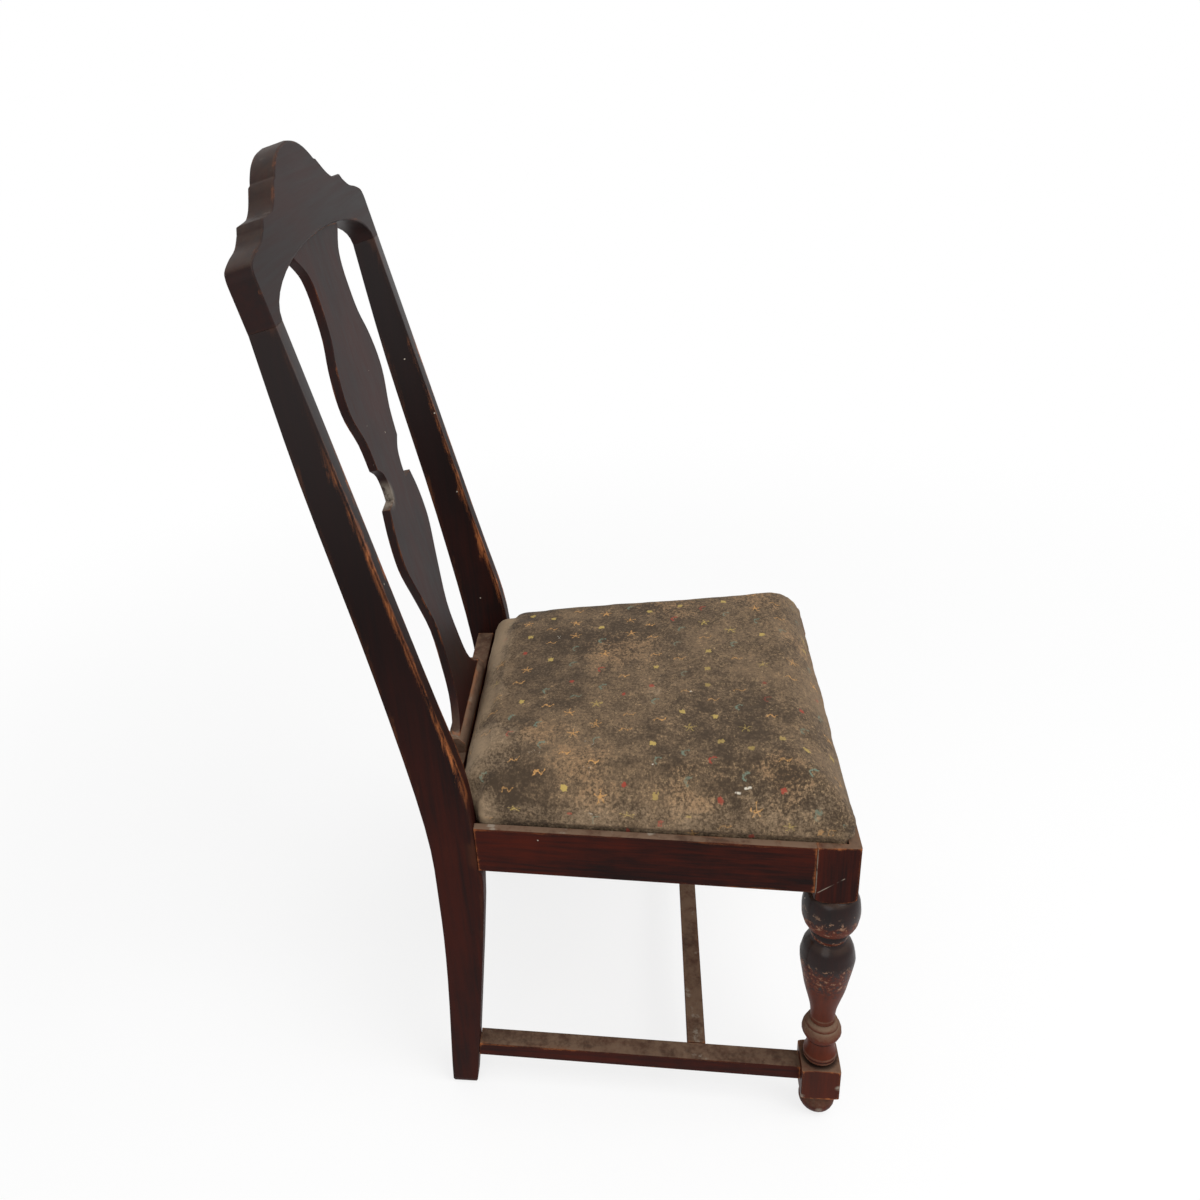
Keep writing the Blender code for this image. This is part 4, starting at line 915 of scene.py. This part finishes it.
def inflate(pad, look):
    """Fills the padding with Blender's cloth, held where the cover is tacked to the boards.

    What is kept of it is how far each point rises, evened out and held to the slack.
    """
    scene = bpy.context.scene
    held = pad.vertex_groups.new(name="tacked")
    tacked = [v.index for v in pad.data.vertices if v.co.z < SEAT_LOW.z + TACK_RISE]
    held.add(tacked, 1.0, "REPLACE")
    rest = [(v.co.copy(), v.normal.copy()) for v in pad.data.vertices]
    cloth = pad.modifiers.new("fill", "CLOTH")
    cloth.settings.quality = CLOTH_QUALITY
    cloth.settings.use_pressure = True
    cloth.settings.uniform_pressure_force = look.pressure
    cloth.settings.effector_weights.gravity = 0
    cloth.settings.vertex_group_mass = held.name
    for number in range(1, look.frames + 1):
        scene.frame_set(number)
    apply_modifiers(pad)
    scene.frame_set(1)
    pad.vertex_groups.clear()
    rises = [(v.co - place).dot(normal) for v, (place, normal) in zip(pad.data.vertices, rest)]
    for vert, (place, normal), rise in zip(pad.data.vertices, rest, evened(pad.data, rises, EVEN_ROUNDS)):
        vert.co = place + normal * (look.slack * math.tanh(rise / look.slack))


def ramp(value, low, high):
    """Smoothly from 0 at low to 1 at high."""
    part = min(max((value - low) / (high - low), 0.0), 1.0)
    return part * part * (3 - 2 * part)


def settle(pad, tree, slack):
    """Keeps each point near the solid it stands for, adds soft dents and flattens the underside."""
    base = SEAT_LOW.z
    for vert in pad.data.vertices:
        spot, normal, _, _ = tree.find_nearest(vert.co)
        off = (vert.co - spot).dot(normal)
        loose = ramp(vert.co.z - base, *LOOSE_RISE)
        dent = noise.fractal(vert.co * DENT_SCALE, 0.9, 2.0, 3) * DENT_DEPTH * loose
        most = TIGHT + 2 * slack * loose
        vert.co += normal * (min(max(off + dent, -most), most) - off)
        if vert.co.z < base + UNDERSIDE_RISE and normal.z < -0.6:
            vert.co.z = base


def spread(pad):
    """Lets the padding swell over the rails, most at the front corners, and not beside the posts."""
    pad.data.update()
    moves = []
    for vert in pad.data.vertices:
        x, y, z = vert.normal
        height = vert.co.z - SEAT_LOW.z
        over = ramp(height, RAIL_RISE, RAIL_RISE + SWELL_START)
        swell = over * (1 - ramp(height, *SWELL_FADE))
        ahead = 1 - ramp(vert.co.y, *POST_CLEAR)
        corner = max(-y, 0.0) * abs(x)
        most = SIDE_SWELL + FRONT_SWELL * max(-y, 0.0) + CORNER_SWELL * corner
        least = CORNER_FILL * corner * (1 - ramp(abs(z), *CORNER_TILT))
        moves.append(Vector((x, y, 0)) * (most * swell * ahead + least * (1 - over)))
    for vert, move in zip(pad.data.vertices, moves):
        vert.co += move


def lay_cover(pad):
    """Writes the cover's UV map in metres: flat on top, and rolled out over the sides."""
    mesh = pad.data
    layer = mesh.uv_layers.new(name="lay")
    side = SEAT_LOW.z + SIDE_RISE
    places = []
    for vert in mesh.vertices:
        out = Vector((vert.normal.x, vert.normal.y))
        tilt = math.acos(min(max(vert.normal.z, 0.0), 1.0))
        over = ROLL * (tilt - math.sin(tilt)) + max(side - vert.co.z, 0.0)
        shift = out.normalized() * over if out.length > LEAST_TILT else Vector((0, 0))
        places.append((vert.co.x + shift.x, vert.co.y + shift.y))
    for loop in mesh.loops:
        layer.data[loop.index].uv = places[loop.vertex_index]


class CHAIR_OT_seat_pad(bpy.types.Operator):
    """Make the padded, covered seat"""

    bl_idname = "chair.seat_pad"
    bl_label = "Padded seat"

    def execute(self, context):
        look = context.scene.chair_seat
        outside = cover_shell(True)
        close_under(outside, 0)
        tree = BVHTree.FromBMesh(outside)
        for vert in outside.verts:
            vert.co -= vert.normal * (INSET if vert.co.z > SEAT_LOW.z + INSET_RISE else 0)
        pad = loose_object("seat_pad", outside)
        remesh = pad.modifiers.new("cells", "REMESH")
        remesh.mode = "VOXEL"
        remesh.voxel_size = look.voxel
        apply_modifiers(pad)
        inflate(pad, look)
        smooth = pad.modifiers.new("round", "SUBSURF")
        smooth.levels = 1
        smooth.render_levels = 1
        apply_modifiers(pad)
        settle(pad, tree, look.slack)
        spread(pad)

        inside = cover_shell(False)
        close_under(inside, HOLLOW_DROP)
        lid = BURLAP_HIGH.z + LID_GAP
        for vert in inside.verts:
            if vert.co.z > lid:
                vert.co = SEAT_MIDDLE.lerp(vert.co, LID_SHARE)
                vert.co.z = lid
        hollow = loose_object("seat_hollow", inside)
        cut = pad.modifiers.new("hollow", "BOOLEAN")
        cut.operation = "DIFFERENCE"
        cut.solver = "EXACT"
        cut.object = hollow
        apply_modifiers(pad)
        bpy.data.objects.remove(hollow)
        if len(pad.data.polygons) < FEWEST_FACES:
            raise RuntimeError("the padded seat lost its top")
        pad.data.polygons.foreach_set("use_smooth", [True] * len(pad.data.polygons))
        lay_cover(pad)
        pad.data.materials.clear()
        pad.data.materials.append(figured_cloth(look))
        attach(pad, SEAT_BODY)
        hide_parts("seat_cover", "seat_stuffing")
        return {"FINISHED"}


# Stage

CAMERA_PLACE = Vector((-1.0872, -0.07806, 1.2082))
CAMERA_YAW = 0.197
CAMERA_PITCH = 0.491
CAMERA_ROLL = -0.119
CAMERA_LENS = 31.70
CAMERA_SHIFT = (0.1119, -0.0092)
SENSOR_WIDTH = 36
LAMP_AIM = (0, 0, 0.5)
KEY_LAMP = {"size": 2.4, "place": (-0.9, -1.6, 3.0)}
FILL_LAMP = {"size": 1.6, "place": (-2.4, 0.6, 1.6)}
FLOOR_RADIUS = 80
FLOOR_SEGMENTS = 96
FLOOR_DROP = 0.2 * MM
FLOOR_FADE = (0.7, 2.2)


def camera():
    """The photograph's viewpoint."""
    level = math.cos(CAMERA_PITCH)
    ahead = Vector((math.cos(CAMERA_YAW) * level, math.sin(CAMERA_YAW) * level, -math.sin(CAMERA_PITCH)))
    right = Vector((math.sin(CAMERA_YAW), -math.cos(CAMERA_YAW), 0))
    up = right.cross(ahead)
    turn = Matrix((right, up, -ahead)).transposed() @ Matrix.Rotation(CAMERA_ROLL, 3, "Z")
    lens = bpy.data.cameras.new("photo_view")
    lens.sensor_width = SENSOR_WIDTH
    lens.lens = CAMERA_LENS
    lens.shift_x, lens.shift_y = CAMERA_SHIFT
    viewer = bpy.data.objects.new("photo_view", lens)
    viewer.matrix_world = Matrix.Translation(CAMERA_PLACE) @ turn.to_4x4()
    bpy.context.scene.collection.objects.link(viewer)
    bpy.context.scene.camera = viewer


def lamp(name, strength, size, place):
    light = bpy.data.lights.new(name, "AREA")
    light.energy = strength
    light.shape = "DISK"
    light.size = size
    thing = bpy.data.objects.new(name, light)
    thing.location = place
    thing.rotation_euler = (Vector(LAMP_AIM) - Vector(place)).to_track_quat("-Z", "Y").to_euler()
    bpy.context.scene.collection.objects.link(thing)


def seen_directly(tree):
    """1 for what the camera sees, by itself, in a reflection or through a clear thing."""
    path = tree.nodes.new("ShaderNodeLightPath")
    seen = path.outputs["Is Camera Ray"]
    for kind in ("Is Glossy Ray", "Is Transmission Ray"):
        either = tree.nodes.new("ShaderNodeMath")
        either.operation = "MAXIMUM"
        tree.links.new(seen, either.inputs[0])
        tree.links.new(path.outputs[kind], either.inputs[1])
        seen = either.outputs[0]
    return seen


def join_surface(tree, factor, first, second, end):
    """Mixes two shaders by a factor into an output node."""
    mix = tree.nodes.new("ShaderNodeMixShader")
    for socket, source in zip(mix.inputs, (factor, first, second)):
        tree.links.new(source, socket)
    tree.links.new(mix.outputs[0], tree.nodes[end].inputs["Surface"])


def sky(ambient):
    """White where it is seen, and soft light from all round."""
    world = bpy.data.worlds.new("studio")
    world.use_nodes = True
    tree = world.node_tree
    soft = tree.nodes["Background"]
    soft.inputs["Color"].default_value = (1, 1, 1, 1)
    soft.inputs["Strength"].default_value = ambient
    white = tree.nodes.new("ShaderNodeBackground")
    white.inputs["Color"].default_value = (1, 1, 1, 1)
    join_surface(tree, seen_directly(tree), soft.outputs[0], white.outputs[0], "World Output")
    bpy.context.scene.world = world


def floor(shade):
    """A pale floor that keeps the chair's shadow."""
    bm = bmesh.new()
    bmesh.ops.create_circle(bm, cap_ends=True, segments=FLOOR_SEGMENTS, radius=FLOOR_RADIUS)
    bmesh.ops.translate(bm, verts=bm.verts, vec=(0, 0, -FLOOR_DROP))
    ground = loose_object("floor", bm)
    paint = Paint("floor")
    paint.finish(shade, 0.9, fixed={"Specular IOR Level": 0.0})
    tree = paint.tree
    white = tree.nodes.new("ShaderNodeEmission")
    white.inputs["Color"].default_value = (1, 1, 1, 1)
    away = paint.vector_maths("LENGTH", paint.place(), (0, 0, 0), "Value")
    lift = Signal(paint, seen_directly(tree)) * (0.78 + 0.22 * paint.step(away, *FLOOR_FADE))
    join_surface(tree, lift.socket, paint.shader.outputs[0], white.outputs[0], "Material Output")
    ground.data.materials.append(paint.material)


class CHAIR_OT_stage(bpy.types.Operator):
    """Set the floor, the lamps and the camera"""

    bl_idname = "chair.stage"
    bl_label = "Stage"

    def execute(self, context):
        look = context.scene.chair_stage
        context.scene.view_settings.view_transform = "Standard"
        camera()
        sky(look.ambient)
        floor(look.floor)
        lamp("key_lamp", look.key, **KEY_LAMP)
        lamp("fill_lamp", look.fill, **FILL_LAMP)
        return {"FINISHED"}


OPERATORS = (
    CHAIR_OT_frame_wood,
    CHAIR_OT_inner_wood,
    CHAIR_OT_webbing,
    CHAIR_OT_burlap,
    CHAIR_OT_seat_pad,
    CHAIR_OT_stage,
)
GROUPS = {"chair_wood": ChairWood, "chair_seat": ChairSeat, "chair_stage": ChairStage}


class CHAIR_PT_finishes(bpy.types.Panel):
    """The chair's finishes and what applies them"""

    bl_idname = "CHAIR_PT_finishes"
    bl_label = "Dining chair"
    bl_space_type = "VIEW_3D"
    bl_region_type = "UI"
    bl_category = "Chair"

    def draw(self, context):
        for name, group in GROUPS.items():
            box = self.layout.box()
            for key in group.__annotations__:
                box.prop(getattr(context.scene, name), key)
        for operator in OPERATORS:
            self.layout.operator(operator.bl_idname)


def register():
    for name, group in GROUPS.items():
        bpy.utils.register_class(group)
        setattr(bpy.types.Scene, name, PointerProperty(type=group))
    for operator in OPERATORS:
        bpy.utils.register_class(operator)
    bpy.utils.register_class(CHAIR_PT_finishes)


def unregister():
    bpy.utils.unregister_class(CHAIR_PT_finishes)
    for operator in reversed(OPERATORS):
        bpy.utils.unregister_class(operator)
    for name, group in GROUPS.items():
        delattr(bpy.types.Scene, name)
        bpy.utils.unregister_class(group)


def main():
    register()
    bpy.ops.chair.stage()
    bpy.ops.chair.frame_wood()
    bpy.ops.chair.inner_wood()
    bpy.ops.chair.webbing()
    bpy.ops.chair.burlap()
    bpy.ops.chair.seat_pad()


if __name__ == "__main__":
    main()
